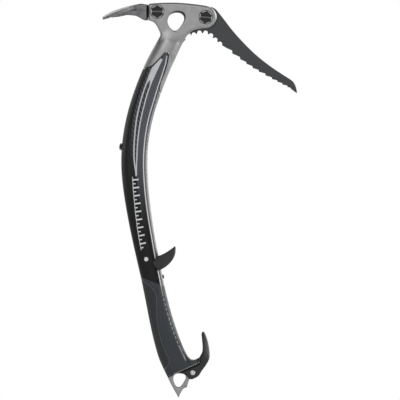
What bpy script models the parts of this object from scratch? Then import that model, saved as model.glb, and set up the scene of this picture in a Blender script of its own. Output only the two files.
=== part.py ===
"""Ice axe: a technical ice-climbing tool, built as the separate pieces it comes apart into.

Frame: +X runs from the adze towards the pick, +Y across the tool, +Z up the tool. The origin is the
centre of the head's carabiner hole. Dimensions are in millimetres, and MM turns them into metres.
"""

import math

import bmesh
import bpy
import numpy as np
from mathutils import Matrix, Vector

MM = 0.001
GAP = 0.3  # clearance between pieces that touch

# Shaft: its centreline x at height z, and its oval's size from rear to front and from side to side.
SHAFT_CENTRE = [(-16, -1.9), (-32, -10.1), (-49.3, -18.9), (-79.6, -31.9), (-112, -42.9), (-150.3, -50.6),
                (-175.5, -52.2), (-226.1, -48.4), (-276.6, -40.0), (-327.1, -29.3), (-377.6, -18.3),
                (-410, -9.8), (-441, 2.4)]
SHAFT_DEPTH = [(-16, 28.6), (-49.3, 31.7), (-90, 33.0), (-138, 33.3), (-175.5, 33.6), (-226, 31.6),
               (-276.6, 29.0), (-327, 27.3), (-441, 27.0)]
SHAFT_HALF_WIDTH = [(-16, 12.5), (-100, 12.5), (-226, 12.0), (-327, 11.3), (-441, 11.0)]
SHAFT_TOP, SHAFT_END = -38.5, -441.0
OVAL_POWER = 2.3
SLEEVE_WALL = 1.8
CORE_INSET = SLEEVE_WALL + GAP  # the shaft is stepped down where the head or the grip covers it
BORE_INSET = CORE_INSET + 2.0

# Head.
HEAD_HALF, HEAD_EDGE = 8.0, 1.0
LOBE_CENTRE, LOBE_RADIUS = (38.1, 5.4), 13.9
HEAD_TOP = [(-34.7, 22.3), (-26.8, 23.4), (-11.6, 24.1), (0, 24.1), (11.1, 23.5), (22.5, 22.4),
            (33.0, 21.0), (38.5, 20.1), (42.0, 19.1)]
HEAD_FRONT = [(29.3, -9.4), (20.6, -11.9), (16.4, -16.2), (14.4, -17.9), (12.6, -20.6), (12.6, -23.0),
              (6.0, -30.0)]
HEAD_REAR = [(-23.0, -27.0), (-19.9, -18.9), (-19.5, -15.5), (-21.1, -11.5), (-23.6, -6.4), (-28.0, -0.8),
             (-34.7, 1.2)]
CARABINER_HOLE = [(-10.4, 1.0), (-8.6, -5.8), (-4.4, -10.6), (-0.3, -11.5), (3.6, -9.2), (8.6, -2.4),
                  (10.6, 3.6), (8.6, 8.4), (3.5, 10.8), (-3.0, 10.4), (-8.2, 7.2)]
SOCKET_RINGS = [(-15, 7.4), (-20, 9.3), (-25, 10.9), (-31, 12.0), (-38, 12.5)]  # height, half width
SLEEVE_REAR_END = -61.5
SLEEVE_EDGE = [(-50.0, SLEEVE_REAR_END), (-41.4, -59.5), (-35.1, -57.7), (-30.4, -55.8), (-26.1, -52.2),
               (-17.2, -43.1), (-12.9, -38.9), (-10.4, -37.5), (-8.7, -39.3), (-9.2, -46.0),
               (-11.6, -57.2), (-15.3, -68.0), (-18.9, -77.0), (-20.5, -85.0), (-19.2, -91.5),
               (-14.0, -99.0)]
PICK_SLOT = [(12.9, -22.0), (13.2, 4.4), (19.7, 13.5), (30.0, 17.6), (39.0, 18.6), (43.0, 30.0),
             (70.0, 30.0), (70.0, -22.0)]

# Pick: a flat toothed blade.
PICK_HALF = 2.0
PICK_TANG = [(13.5, -17.6), (13.7, -13.0), (13.7, 4.0), (20.0, 13.0), (30.0, 17.0)]
PICK_TOP = [(44.2, 18.8), (49.0, 16.7), (52.8, 13.2), (60.4, 3.6), (75.5, -15.6), (98.3, -39.3),
            (121.0, -57.5), (143.7, -72.4), (148.5, -76.2), (151.5, -81.3), (153.1, -87.0), (153.4, -91.0)]
TOOTH_TIPS = [(145.2, -84.9), (141.1, -82.8), (134.8, -79.7), (128.4, -76.2), (121.6, -72.9),
              (113.3, -68.2), (104.9, -63.4), (97.1, -58.7), (89.2, -53.4), (81.3, -47.7), (71.4, -40.4)]
TOOTH_SLOPE = 0.28  # height of each tooth's step for its distance from the tooth before
TOOTH_SWELL = (63.8, -33.4)  # the edge bulges a little between the last tooth and the first scallop
SCALLOPS = [(55.8, -28.3), (50.0, -23.2), (44.5, -17.8), (37.8, -14.3), (30.1, -14.3), (23.0, -16.7),
            (17.4, -17.0)]
SCALLOP_CUSPS = [(58.6, -30.1), (52.9, -25.8), (47.2, -21.0), (41.7, -16.5), (34.1, -15.2), (26.0, -16.0),
                 (19.0, -18.1)]
SCALLOP_RADIUS, LAST_SCALLOP_RADIUS = 2.95, 1.9

# Adze: a scoop blade on a web and a root block, with a flat tang in the head.
ADZE_ROOT_X, ADZE_TANG_END = -36.9, -14.6
ADZE_BLADE = [  # x, top at the middle, half width, camber, thickness
    (-44.0, 21.8, 6.8, 0.6, 5.0), (-52.0, 20.7, 8.6, 1.0, 4.6), (-61.0, 18.7, 13.6, 1.8, 4.2),
    (-72.0, 15.5, 19.4, 2.6, 3.8), (-83.6, 11.0, 23.4, 3.2, 3.4), (-92.7, 6.2, 25.2, 2.0, 2.4)]
ADZE_WEB = [  # x, bottom, top, half width
    (ADZE_ROOT_X, 0.9, 22.2, 7.6), (-41.9, 2.3, 22.0, 7.2), (-46.0, 5.0, 21.4, 6.2),
    (-50.5, 7.2, 20.2, 5.2), (-61.0, 8.2, 17.4, 4.2), (-72.0, 5.9, 14.2, 3.4), (-82.0, 4.9, 10.4, 2.6)]
ADZE_TANG = [(-41.0, 5.6), (-19.0, 5.6), (ADZE_TANG_END, 10.0), (ADZE_TANG_END, 15.6), (-19.0, 19.6),
             (-41.0, 19.6)]
ADZE_SLOT = [(-50.0, 5.2), (-18.8, 5.2), (ADZE_TANG_END + GAP, 9.8), (ADZE_TANG_END + GAP, 15.8),
             (-18.8, 20.0), (-50.0, 20.0)]
ADZE_TANG_HALF = 3.0
ADZE_NECK = [(-38.0, 1.9), (-35.1, 1.9), (-35.1, 21.2), (-38.0, 21.2)]
ADZE_NECK_HALF = 5.2

# Bolts through the head: centres in the X-Z plane, and sizes along Y from the middle plane.
ADZE_BOLT, PICK_BOLT = (-23.4, 12.6), (38.1, 5.4)
BOLT_FLATS, NUT_FLATS, BOLT_RADIUS = 14.0, 13.0, 4.0
BOLT_TOP, BOLT_END = -12.4, 10.9
BOLT_SLOT_HALF, BOLT_SLOT_DEPTH = 1.3, 2.0
BOLT_SEAT, NUT_SEAT = 6.5, 5.2  # distance of each recess floor from the middle plane
BOLT_SINK_RADIUS, BOLT_WASHER_RADIUS, BOLT_WASHER_THICKNESS = 8.7, 8.2, 0.8
NUT_HEIGHT = 4.8

# Trigger, its screw, the second hole with its plug, and the stud for a leash.
TRIGGER_TOP = [(-25.5, -300.3), (-22.3, -296.4), (-18.2, -294.9), (-13.6, -292.6), (-9.0, -289.8),
               (-4.2, -286.3), (-0.8, -283.7)]
TRIGGER_FRONT = [(0.1, -286.0), (-0.2, -291.6), (-1.0, -295.2), (-2.7, -299.2), (-5.4, -303.3),
                 (-9.6, -307.6), (-13.6, -310.8), (-19.0, -313.9), (-22.4, -314.9)]
TRIGGER_SADDLE = [(-26.3, -311.0), (-29.4, -306.4), (-29.6, -302.4)]
TRIGGER_HALF, TRIGGER_TIP_HALF, TRIGGER_TAPER_X = 12.8, 7.0, -17.0
TRIGGER_SCREW_Z, PLUG_Z, STUD_Z = -309.0, -325.3, -159.6
SCREW_RADIUS, SCREW_CLEARANCE, INSERT_RADIUS, INSERT_LENGTH = 2.0, 2.3, 4.0, 6.5
TRIGGER_SEAT = 6.0  # height of the screw's seat in the trigger above the shaft's skin

# Grip: stations from top to bottom, each with a rear point, a front point and a half width.
GRIP_STATIONS = [((-45.3, -318.0), (-18.9, -312.1), 11.6), ((-42.8, -329.5), (-16.4, -323.8), 12.0),
                 ((-37.7, -355.0), (-10.8, -348.8), 13.2), ((-32.6, -381.2), (-4.0, -373.8), 13.7),
                 ((-26.7, -407.0), (4.3, -398.4), 13.8), ((-21.1, -426.0), (12.6, -418.1), 13.8),
                 ((-18.3, -432.6), (15.8, -423.5), 13.8), ((-15.7, -438.4), (19.2, -426.8), 13.7),
                 ((-13.7, -442.6), (24.0, -427.3), 13.6), ((-12.6, -444.8), (29.6, -424.8), 13.4),
                 ((-9.0, -452.6), (29.6, -436.4), 13.0)]
GRIP_TOP_LINE = ((-44.5, -322.7), (-15.0, -334.7))
PANEL_TOP, PANEL_END, STRIP_TOP, STRIP_END = -322.6, -440.5, -330.0, -421.0
PANEL_EDGE = [(-46.0, PANEL_TOP), (-41.6, -326.8), (-34.4, -331.8), (-27.6, -338.0), (-24.4, -344.0),
              (-23.4, -354.0), (-22.5, -379.5), (-18.6, -399.7), (-11.2, -419.9), (-7.2, -428.0),
              (-8.4, -434.0), (-14.0, PANEL_END)]
STRIP_EDGE = [(-18.4, STRIP_TOP), (-17.4, -336.1), (-12.9, -356.8), (-5.6, -381.5), (3.3, -406.0),
              (10.0, STRIP_END)]
INSERT_DEPTH = 1.5  # thickness of the softer rubber let into the grip
SQUARE_FROM, SQUARE_OVER, SQUARE_POWER = 380.0, 60.0, 0.9  # the oval turns squarer towards the bottom

# Spike casting, pommel and the screw through both.
FLANGE_LINE = ((-9.7, -447.7), (29.4, -431.0))
FLANGE_THICKNESS = 1.2
SPIKE_HALF, STEM_TOP, STEM_END = 3.0, -384.0, -442.7
SPIKE_REAR = [(-10.7, -448.4), (-6.7, -457.0), (-2.4, -465.0), (3.7, -475.9)]
SPIKE_FRONT = [(5.6, -470.8), (8.8, -465.2), (11.1, -463.2), (14.0, -462.6), (14.8, -459.8), (17.2, -452.2)]
SPIKE_LUG = [(19.6, -449.3), (24.6, -447.0), (27.6, -442.4), (28.4, -432.0)]
CLIP_HOLE = [(-3.0, -450.6), (-1.8, -455.9), (0.5, -460.4), (3.4, -462.0), (7.0, -460.2), (10.6, -455.0),
             (12.8, -449.6), (10.6, -446.0), (4.6, -444.9), (-0.9, -446.1)]
POMMEL_HOOK = [(29.9, -424.6), (31.9, -421.4), (33.7, -417.4), (34.2, -411.5), (33.4, -403.0),
               (32.5, -395.6)]
POMMEL_TIP = [(33.0, -392.8), (34.6, -391.7), (36.4, -392.8)]
POMMEL_OUTSIDE = [(38.4, -397.0), (40.6, -404.1), (42.1, -412.1), (42.8, -420.0), (42.2, -426.6),
                  (38.4, -433.8), (33.0, -441.2), (29.6, -446.9)]
POMMEL_UNDER = [(26.8, -449.3), (21.2, -452.0), (17.3, -452.0), (14.4, -448.4), (10.6, -445.4),
                (4.2, -444.3)]
POMMEL_FORK = [(-5.0, -460.0), (17.0, -460.0), (29.0, -447.0), (29.0, -428.0), (-5.0, -428.0)]
POMMEL_HALF, POMMEL_TIP_HALF, POMMEL_EDGE = 9.0, 5.5, 1.5
POMMEL_SCREW = (21.6, -443.9)
POMMEL_SCREW_RADIUS, POMMEL_SCREW_END = 2.5, 9.2
POMMEL_SEAT, POMMEL_NUT_SEAT, POMMEL_NUT_FLATS = 6.5, 6.0, 8.0
PIN_Z, PIN_RADIUS = -424.0, 2.0

STEEL = ((0.33, 0.33, 0.34), 0.38, 1.0)
DARK_STEEL = ((0.06, 0.06, 0.065), 0.45, 0.9)
GREY_STEEL = ((0.15, 0.15, 0.155), 0.42, 0.95)
BLACK_STEEL = ((0.03, 0.03, 0.035), 0.35, 0.9)
BRIGHT_STEEL = ((0.55, 0.55, 0.56), 0.25, 1.0)
CARBON = ((0.03, 0.032, 0.038), 0.3, 0.0)
BLACK_NYLON = ((0.02, 0.02, 0.021), 0.55, 0.0)
GRIP_RUBBER = ((0.04, 0.05, 0.06), 0.7, 0.0)
SOFT_RUBBER = ((0.025, 0.026, 0.028), 0.8, 0.0)


def spline(knots):
    """A natural cubic spline through (position, value) knots, as a function of position."""
    at, value = np.array(sorted(knots), dtype=float).T
    step, count = np.diff(at), len(at)
    rows, right = np.eye(count), np.zeros(count)
    for i in range(1, count - 1):
        rows[i, i - 1:i + 2] = step[i - 1], 2 * (step[i - 1] + step[i]), step[i]
        right[i] = 6 * ((value[i + 1] - value[i]) / step[i] - (value[i] - value[i - 1]) / step[i - 1])
    bend = np.linalg.solve(rows, right)

    def read(s):
        i = int(np.clip(np.searchsorted(at, s) - 1, 0, count - 2))
        a, b, h = at[i + 1] - s, s - at[i], step[i]
        return ((bend[i] * a ** 3 + bend[i + 1] * b ** 3) / (6 * h)
                + (value[i] / h - bend[i] * h / 6) * a + (value[i + 1] / h - bend[i + 1] * h / 6) * b)

    return read


centre_x, depth, half_width = spline(SHAFT_CENTRE), spline(SHAFT_DEPTH), spline(SHAFT_HALF_WIDTH)


def curve(points, steps=3, closed=False):
    """A smooth curve through the points, with a few points to each span."""
    ends = [points[-1]] + points + points[:2] if closed else [points[0]] + points + [points[-1]]
    path = []
    for a, b, c, d in zip(ends, ends[1:], ends[2:], ends[3:]):
        a, b, c, d = (Vector(p) for p in (a, b, c, d))
        for t in (k / steps for k in range(steps)):
            path.append(0.5 * (2 * b + (c - a) * t + (2 * a - 5 * b + 4 * c - d) * t ** 2
                               + (3 * b - a - 3 * c + d) * t ** 3))
    return path if closed else path + [Vector(points[-1])]


def arc(centre, radius, start, end, count):
    """Points on a circle in the X-Z plane, from one angle to another in degrees."""
    turns = (math.radians(start + (end - start) * k / (count - 1)) for k in range(count))
    return [Vector((centre[0] + radius * math.cos(t), centre[1] + radius * math.sin(t))) for t in turns]


def shifted(path, distance):
    """An open path moved sideways, to the right of its direction."""
    moved = []
    for i, point in enumerate(path):
        run = path[min(i + 1, len(path) - 1)] - path[max(i - 1, 0)]
        moved.append(point + Vector((run.y, -run.x)).normalized() * distance)
    return moved


def across(z):
    """The direction across the shaft, from its rear to its front, at height z."""
    slope = centre_x(z + 0.5) - centre_x(z - 0.5)
    return Vector((1, 0, -slope)).normalized()


def middle(z):
    return Vector((centre_x(z), 0, z))


def oval(centre, front, half_depth, half_side, power=OVAL_POWER, count=24):
    """A ring of points on a rounded oval, its long way along front and its short way along Y."""
    ring = []
    for k in range(count):
        c, s = math.cos(math.tau * k / count), math.sin(math.tau * k / count)
        along = math.copysign(abs(c) ** (2 / power), c) * half_depth
        side = math.copysign(abs(s) ** (2 / power), s) * half_side
        ring.append(centre + front * along + Vector((0, side, 0)))
    return ring


def shaft_ring(z, inset=0.0, side=None):
    wide = half_width(z) if side is None else side
    return oval(middle(z), across(z), depth(z) / 2 - inset, wide - inset)


def shaft_loft(name, top, bottom, inset, count, look=None):
    heights = [top + (bottom - top) * k / (count - 1) for k in range(count)]
    return loft(name, [shaft_ring(z, inset) for z in heights], look)


def finish(name, shell, look):
    """Turns a bmesh in millimetres into an object. Without a look, it is a cutter or a guide."""
    bmesh.ops.recalc_face_normals(shell, faces=shell.faces)
    bmesh.ops.scale(shell, vec=(MM, MM, MM), verts=shell.verts)
    mesh = bpy.data.meshes.new(name)
    shell.to_mesh(mesh)
    shell.free()
    piece = bpy.data.objects.new(name, mesh)
    bpy.context.scene.collection.objects.link(piece)
    if look is None:
        piece.hide_render = True
        piece.display_type = 'WIRE'
        return piece
    mesh.shade_smooth()
    mesh.set_sharp_from_angle(angle=math.radians(35))
    mesh.materials.append(material(name, *look))
    return piece


def material(name, colour, roughness, metallic):
    made = bpy.data.materials.new(name)
    made.use_nodes = True
    shader = made.node_tree.nodes["Principled BSDF"]
    shader.inputs["Base Color"].default_value = (*colour, 1)
    shader.inputs["Roughness"].default_value = roughness
    shader.inputs["Metallic"].default_value = metallic
    made.diffuse_color = (*colour, 1)
    return made


def loft(name, rings, look=None, closed=False):
    """A solid through rings of equal length: capped at both ends, or closed on itself."""
    shell = bmesh.new()
    loops = [[shell.verts.new(p) for p in ring] for ring in rings]
    pairs = list(zip(loops, loops[1:])) + ([(loops[-1], loops[0])] if closed else [])
    for low, high in pairs:
        for i, j in zip(range(len(low)), list(range(1, len(low))) + [0]):
            shell.faces.new((low[i], low[j], high[j], high[i]))
    if not closed:
        shell.faces.new(loops[0])
        shell.faces.new(loops[-1])
    return finish(name, shell, look)


def prism(name, outline, low, high, look=None):
    """A solid with an outline in the X-Z plane, drawn out along Y."""
    return loft(name, [[Vector((p[0], y, p[1])) for p in outline] for y in (low, high)], look)


def plate(name, outline, half, look=None, edge=0.0):
    """A flat plate about the middle plane, with its edges broken by a small bevel."""
    made = prism(name, outline, -half, half, look)
    if edge:
        bevel = made.modifiers.new("edge", 'BEVEL')
        bevel.width, bevel.segments = edge * MM, 1
        bevel.angle_limit = math.radians(50)
    return made


def turned(name, profile, base, axis, look=None, count=18, closed=False):
    """A turned solid, its origin at base on its own axis.

    The profile holds (radius, height, sides), where 0 sides is round and 6 is a hexagon.
    """
    up = Vector(axis).normalized()
    start = Vector((0, 0, 1)) if abs(up.z) < 0.9 else Vector((1, 0, 0))
    start = (start - up * start.dot(up)).normalized()
    side = up.cross(start)
    rings = []
    for radius, height, sides in profile:
        ring = []
        for k in range(count):
            turn = math.tau * k / count
            reach = radius
            if sides:
                reach = radius / math.cos((turn % (math.tau / sides)) - math.pi / sides)
            outward = start * math.cos(turn) + side * math.sin(turn)
            ring.append(Vector(base) + up * height + outward * reach)
        rings.append(ring)
    made = loft(name, rings, look, closed)
    made.data.transform(Matrix.Translation(-Vector(base) * MM))
    made.location = Vector(base) * MM
    return made


def combine(target, other, operation):
    step = target.modifiers.new(other.name, 'BOOLEAN')
    step.operation, step.object = operation, other


def cut(target, *cutters):
    for cutter in cutters:
        combine(target, cutter, 'DIFFERENCE')


def fuse(target, *others):
    for other in others:
        combine(target, other, 'UNION')


def trim(target, other):
    combine(target, other, 'INTERSECT')


def hole(name, centre, radius, low, high, sides=0):
    """A cutter along Y: round, or a hexagon whose radius is half its width across flats."""
    return turned(name, [(radius, low, sides), (radius, high, sides)], (centre[0], 0, centre[1]), (0, 1, 0))


def sleeve_edge_path():
    return curve(SLEEVE_EDGE, 3)


def head():
    """Plate, lobe and shaft sleeve in one casting, slotted for the pick and the adze."""
    outline = curve(HEAD_TOP, 2) + arc(LOBE_CENTRE, LOBE_RADIUS, 66, -95, 14)
    outline += curve(HEAD_FRONT, 2) + curve(HEAD_REAR, 2)
    made = plate("head", outline, HEAD_HALF, STEEL, edge=HEAD_EDGE)
    rings = [shaft_ring(z, side=wide) for z, wide in SOCKET_RINGS]
    rings += [shaft_ring(z) for z in range(-46, -110, -10)]
    socket = loft("head_socket", rings)
    below = [Vector((-80, SLEEVE_REAR_END))] + sleeve_edge_path() + [Vector((20, -120)), Vector((-80, -120))]
    cut(socket, prism("sleeve_below", below, -30, 30))
    fuse(made, socket)
    cut(made, shaft_loft("sleeve_bore", SHAFT_TOP + 2 * GAP, -110, SLEEVE_WALL, 7))
    cut(made, prism("carabiner_hole", curve(CARABINER_HOLE, 3, closed=True), -20, 20))
    cut(made, prism("pick_slot", PICK_SLOT, -PICK_HALF - GAP, PICK_HALF + GAP))
    cut(made, prism("adze_slot", ADZE_SLOT, -ADZE_TANG_HALF - GAP, ADZE_TANG_HALF + GAP))
    for name, centre in (("adze", ADZE_BOLT), ("pick", PICK_BOLT)):
        cut(made, hole(name + "_bolt_hole", centre, BOLT_RADIUS + GAP, -20, 20))
        cut(made, hole(name + "_bolt_sink", centre, BOLT_SINK_RADIUS, -20, -BOLT_SEAT))
        cut(made, hole(name + "_nut_sink", centre, NUT_FLATS / 2 + GAP, NUT_SEAT, 20, sides=6))


def scalloped_edge():
    """The pick's inner edge: round notches, each from the cusp on its right to the cusp on its left."""
    path = []
    for centre, right, left in zip(SCALLOPS, SCALLOP_CUSPS, SCALLOP_CUSPS[1:]):
        start, end = (math.atan2(p[1] - centre[1], p[0] - centre[0]) for p in (right, left))
        path += arc(centre, SCALLOP_RADIUS, math.degrees(start), math.degrees(end) % 360, 7)
    return path + arc(SCALLOPS[-1], LAST_SCALLOP_RADIUS, -30, 140, 4)


def pick():
    outline = [Vector(p) for p in PICK_TANG] + curve(PICK_TOP, 3)
    for (x, z), before in zip(TOOTH_TIPS, TOOTH_TIPS[1:] + SCALLOP_CUSPS[:1]):
        outline += [Vector((x, z)), Vector((x, z + TOOTH_SLOPE * (x - before[0])))]
    outline += [Vector(TOOTH_SWELL)] + scalloped_edge()
    made = plate("pick", outline, PICK_HALF, DARK_STEEL)
    cut(made, hole("pick_bore", PICK_BOLT, BOLT_RADIUS + GAP, -9, 9))


def adze_blade_ring(x, top, half, camber, thickness):
    sides = [half * k / 4 for k in range(-4, 5)]
    upper = [Vector((x, y, top - camber * (y / half) ** 2)) for y in sides]
    return upper + [p - Vector((0, 0, thickness)) for p in reversed(upper)]


def adze_web_ring(x, bottom, top, half):
    edge = min(1.5, half / 2)
    corners = [(half, bottom + edge), (half, top - edge), (half - edge, top), (edge - half, top),
               (-half, top - edge), (-half, bottom + edge), (edge - half, bottom), (half - edge, bottom)]
    return [Vector((x, y, z)) for y, z in corners]


def adze():
    made = loft("adze", [adze_web_ring(*station) for station in ADZE_WEB], GREY_STEEL)
    columns = [spline([(s[0], s[k]) for s in ADZE_BLADE]) for k in range(1, 5)]
    first, last = ADZE_BLADE[0][0], ADZE_BLADE[-1][0]
    stations = [first + (last - first) * k / 10 for k in range(11)]
    blade = loft("adze_blade", [adze_blade_ring(x, *(column(x) for column in columns)) for x in stations])
    fuse(made, blade, prism("adze_tang", ADZE_TANG, -ADZE_TANG_HALF, ADZE_TANG_HALF))
    fuse(made, prism("adze_neck", ADZE_NECK, -ADZE_NECK_HALF, ADZE_NECK_HALF))
    cut(made, hole("adze_bore", ADZE_BOLT, BOLT_RADIUS + GAP, -9, 9))


def bolt(name, centre, look):
    """A slotted hexagon bolt: its head on the near side, its shank across the head along +Y."""
    flat, under = BOLT_FLATS / 2, -(BOLT_SEAT + BOLT_WASHER_THICKNESS + 2 * GAP)
    profile = [(flat - 1.2, BOLT_TOP, 0), (flat, BOLT_TOP + 0.7, 6), (flat, under, 6),
               (BOLT_RADIUS, under, 0), (BOLT_RADIUS, BOLT_END - 0.8, 0), (BOLT_RADIUS - 0.8, BOLT_END, 0)]
    made = turned(name, profile, (centre[0], 0, centre[1]), (0, 1, 0), look)
    left, right = centre[0] - BOLT_FLATS, centre[0] + BOLT_FLATS
    low, high = centre[1] - BOLT_SLOT_HALF, centre[1] + BOLT_SLOT_HALF
    slot = [(left, low), (right, low), (right, high), (left, high)]
    cut(made, prism(name + "_slot", slot, BOLT_TOP - 3, BOLT_TOP + BOLT_SLOT_DEPTH))


def washer(name, base, axis, low, high, inner, outer, look):
    profile = [(inner, low, 0), (outer, low, 0), (outer, high, 0), (inner, high, 0)]
    return turned(name, profile, base, axis, look, closed=True)


def nut(name, centre, low, high, flats, bore, look):
    half = flats / 2
    profile = [(bore, low, 0), (half, low, 6), (half, high - 0.5, 6), (half - 0.7, high, 0), (bore, high, 0)]
    return turned(name, profile, (centre[0], 0, centre[1]), (0, 1, 0), look, closed=True)


def head_fasteners():
    for name, centre in (("adze", ADZE_BOLT), ("pick", PICK_BOLT)):
        bolt(name + "_bolt", centre, BLACK_STEEL)
        seat, bore = BOLT_SEAT + GAP, BOLT_RADIUS + GAP
        washer(name + "_bolt_washer", (centre[0], 0, centre[1]), (0, -1, 0), seat,
               seat + BOLT_WASHER_THICKNESS, bore, BOLT_WASHER_RADIUS, BRIGHT_STEEL)
        seat = NUT_SEAT + GAP
        nut(name + "_nut", centre, seat, seat + NUT_HEIGHT, NUT_FLATS, BOLT_RADIUS + GAP / 2, BLACK_STEEL)


def front_axis(z, side=1):
    """The point on the shaft's front (side 1) or rear (side -1) at station z, and the way out of it."""
    out = across(z) * side
    return middle(z) + out * (depth(z) / 2), out


def shaft():
    """A hollow tube, stepped down at its top for the head's sleeve and at its bottom for the grip."""
    made = shaft_loft("shaft", SHAFT_TOP, SHAFT_END, CORE_INSET, 24, CARBON)
    skin = shaft_loft("shaft_skin", -30.0, -345.0, 0.0, 20)
    edge = shifted(sleeve_edge_path(), GAP)
    above = [Vector((-80, SLEEVE_REAR_END - GAP))] + edge
    above += [Vector((20, edge[-1].y)), Vector((20, 20)), Vector((-80, 20))]
    cut(skin, prism("sleeve_above", above, -30, 30))
    cut(skin, prism("grip_below", line_region(GRIP_TOP_LINE, 0, -60), -30, 30))
    fuse(made, skin)
    cut(made, shaft_loft("shaft_bore", -30.0, -450.0, BORE_INSET, 22))
    for z, side in ((TRIGGER_SCREW_Z, 1), (PLUG_Z, 1), (STUD_Z, -1)):
        base, out = front_axis(z, side)
        wide = INSERT_RADIUS + GAP
        cut(made, turned(f"insert_hole_{-z:.0f}", [(wide, -9, 0), (wide, 4, 0)], base, out))
    cut(made, hole("pin_hole", (centre_x(PIN_Z), PIN_Z), PIN_RADIUS + GAP, -20, 20))


def line_region(line, near, far):
    """A long four-sided region beside a line, between two distances above it, below where negative."""
    a, b = Vector(line[0]), Vector(line[1])
    run = (b - a).normalized()
    up = Vector((-run.y, run.x))
    a, b = a - run * 40, b + run * 40
    return [a + up * near, b + up * near, b + up * far, a + up * far]


def insert(name, z, side, look):
    """A threaded bush through the shaft's wall."""
    base, out = front_axis(z, side)
    profile = [(SCREW_CLEARANCE, -INSERT_LENGTH, 0), (INSERT_RADIUS, -INSERT_LENGTH, 0),
               (INSERT_RADIUS, -2 * GAP, 0), (SCREW_CLEARANCE, -2 * GAP, 0)]
    turned(name, profile, base, out, look, closed=True)


def shaft_fittings():
    """The inserts in the shaft, the trigger's screw and washer, the hole plug and the leash stud."""
    insert("trigger_insert", TRIGGER_SCREW_Z, 1, BRIGHT_STEEL)
    insert("plug_insert", PLUG_Z, 1, BRIGHT_STEEL)
    insert("leash_stud_insert", STUD_Z, -1, BRIGHT_STEEL)
    base, out = front_axis(TRIGGER_SCREW_Z)
    seat = TRIGGER_SEAT + GAP
    washer("trigger_screw_washer", base, out, seat, seat + 0.8, SCREW_CLEARANCE, 3.6, BRIGHT_STEEL)
    under, shank = seat + 0.8 + GAP, SCREW_RADIUS
    profile = [(shank, -5.8, 0), (shank, under, 0), (3.4, under, 0), (3.4, under + 3.5, 0),
               (1.5, under + 3.5, 6), (1.5, under + 1.6, 6)]
    turned("trigger_screw", profile, base, out, BLACK_STEEL)
    base, out = front_axis(PLUG_Z)
    profile = [(1.9, -4.0, 0), (1.9, 0.3, 0), (2.7, 0.3, 0), (2.7, 0.9, 0), (2.0, 1.4, 0), (0.9, 1.6, 0)]
    turned("trigger_plug", profile, base, out, BLACK_NYLON)
    base, out = front_axis(STUD_Z, -1)
    washer("leash_stud_washer", base, out, GAP, 0.8, SCREW_CLEARANCE, 4.2, BLACK_NYLON)
    profile = [(SCREW_RADIUS, -5.8, 0), (SCREW_RADIUS, 1.1, 0), (4.5, 1.1, 0), (4.5, 1.8, 0),
               (3.6, 2.7, 0), (1.2, 3.1, 0), (1.2, 2.0, 6)]
    turned("leash_stud", profile, base, out, BLACK_STEEL)


def trigger():
    """A finger rest whose saddle wraps round the shaft's front."""
    outline = curve(TRIGGER_TOP, 2) + curve(TRIGGER_FRONT, 2) + [Vector(p) for p in TRIGGER_SADDLE]
    made = prism("trigger", outline, -TRIGGER_HALF, TRIGGER_HALF, BLACK_NYLON)
    root, tip = TRIGGER_TAPER_X * MM, TRIGGER_TOP[-1][0] * MM
    for vertex in made.data.vertices:
        share = min(max((vertex.co.x - root) / (tip - root), 0), 1)
        vertex.co.y *= 1 - share * (1 - TRIGGER_TIP_HALF / TRIGGER_HALF)
    cut(made, shaft_loft("trigger_bed", -270.0, -340.0, -GAP, 10))
    base, out = front_axis(TRIGGER_SCREW_Z)
    cut(made, turned("trigger_screw_hole", [(SCREW_CLEARANCE, -9, 0), (SCREW_CLEARANCE, 30, 0)], base, out))
    cut(made, turned("trigger_screw_sink", [(3.9, TRIGGER_SEAT, 0), (3.9, 40, 0)], base, out))


def grip_rings(inset=0.0):
    """The grip's outer rings, squarer towards the bottom, where it carries the pommel's root."""
    rings = []
    for a, b in zip(GRIP_STATIONS, GRIP_STATIONS[1:]):
        spans = 3 if abs(b[0][1] - a[0][1]) > 15 else 1
        rings += [(a, b, k / spans) for k in range(spans)]
    rings.append((GRIP_STATIONS[-2], GRIP_STATIONS[-1], 1.0))
    made = []
    for a, b, t in rings:
        rear = Vector(a[0]).lerp(Vector(b[0]), t)
        front = Vector(a[1]).lerp(Vector(b[1]), t)
        side = a[2] + (b[2] - a[2]) * t
        centre, run = (rear + front) / 2, front - rear
        power = OVAL_POWER + SQUARE_POWER * min(max((-centre.y - SQUARE_FROM) / SQUARE_OVER, 0), 1)
        made.append(oval(Vector((centre.x, 0, centre.y)), Vector((run.x, 0, run.y)).normalized(),
                         run.length / 2 - inset, side - inset, power))
    return made


def rear_region(grown):
    """The side outline of the rear panel, its edge moved out by a distance."""
    edge = shifted(curve(PANEL_EDGE, 2), -grown)
    return [Vector((-80, PANEL_TOP + grown))] + edge + [Vector((-80, PANEL_END - grown))]


def front_region(grown):
    """The side outline of the front strip, its edge moved out by a distance."""
    edge = shifted(curve(STRIP_EDGE, 2), grown)
    return edge + [Vector((40, STRIP_END - grown)), Vector((40, STRIP_TOP))]


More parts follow.
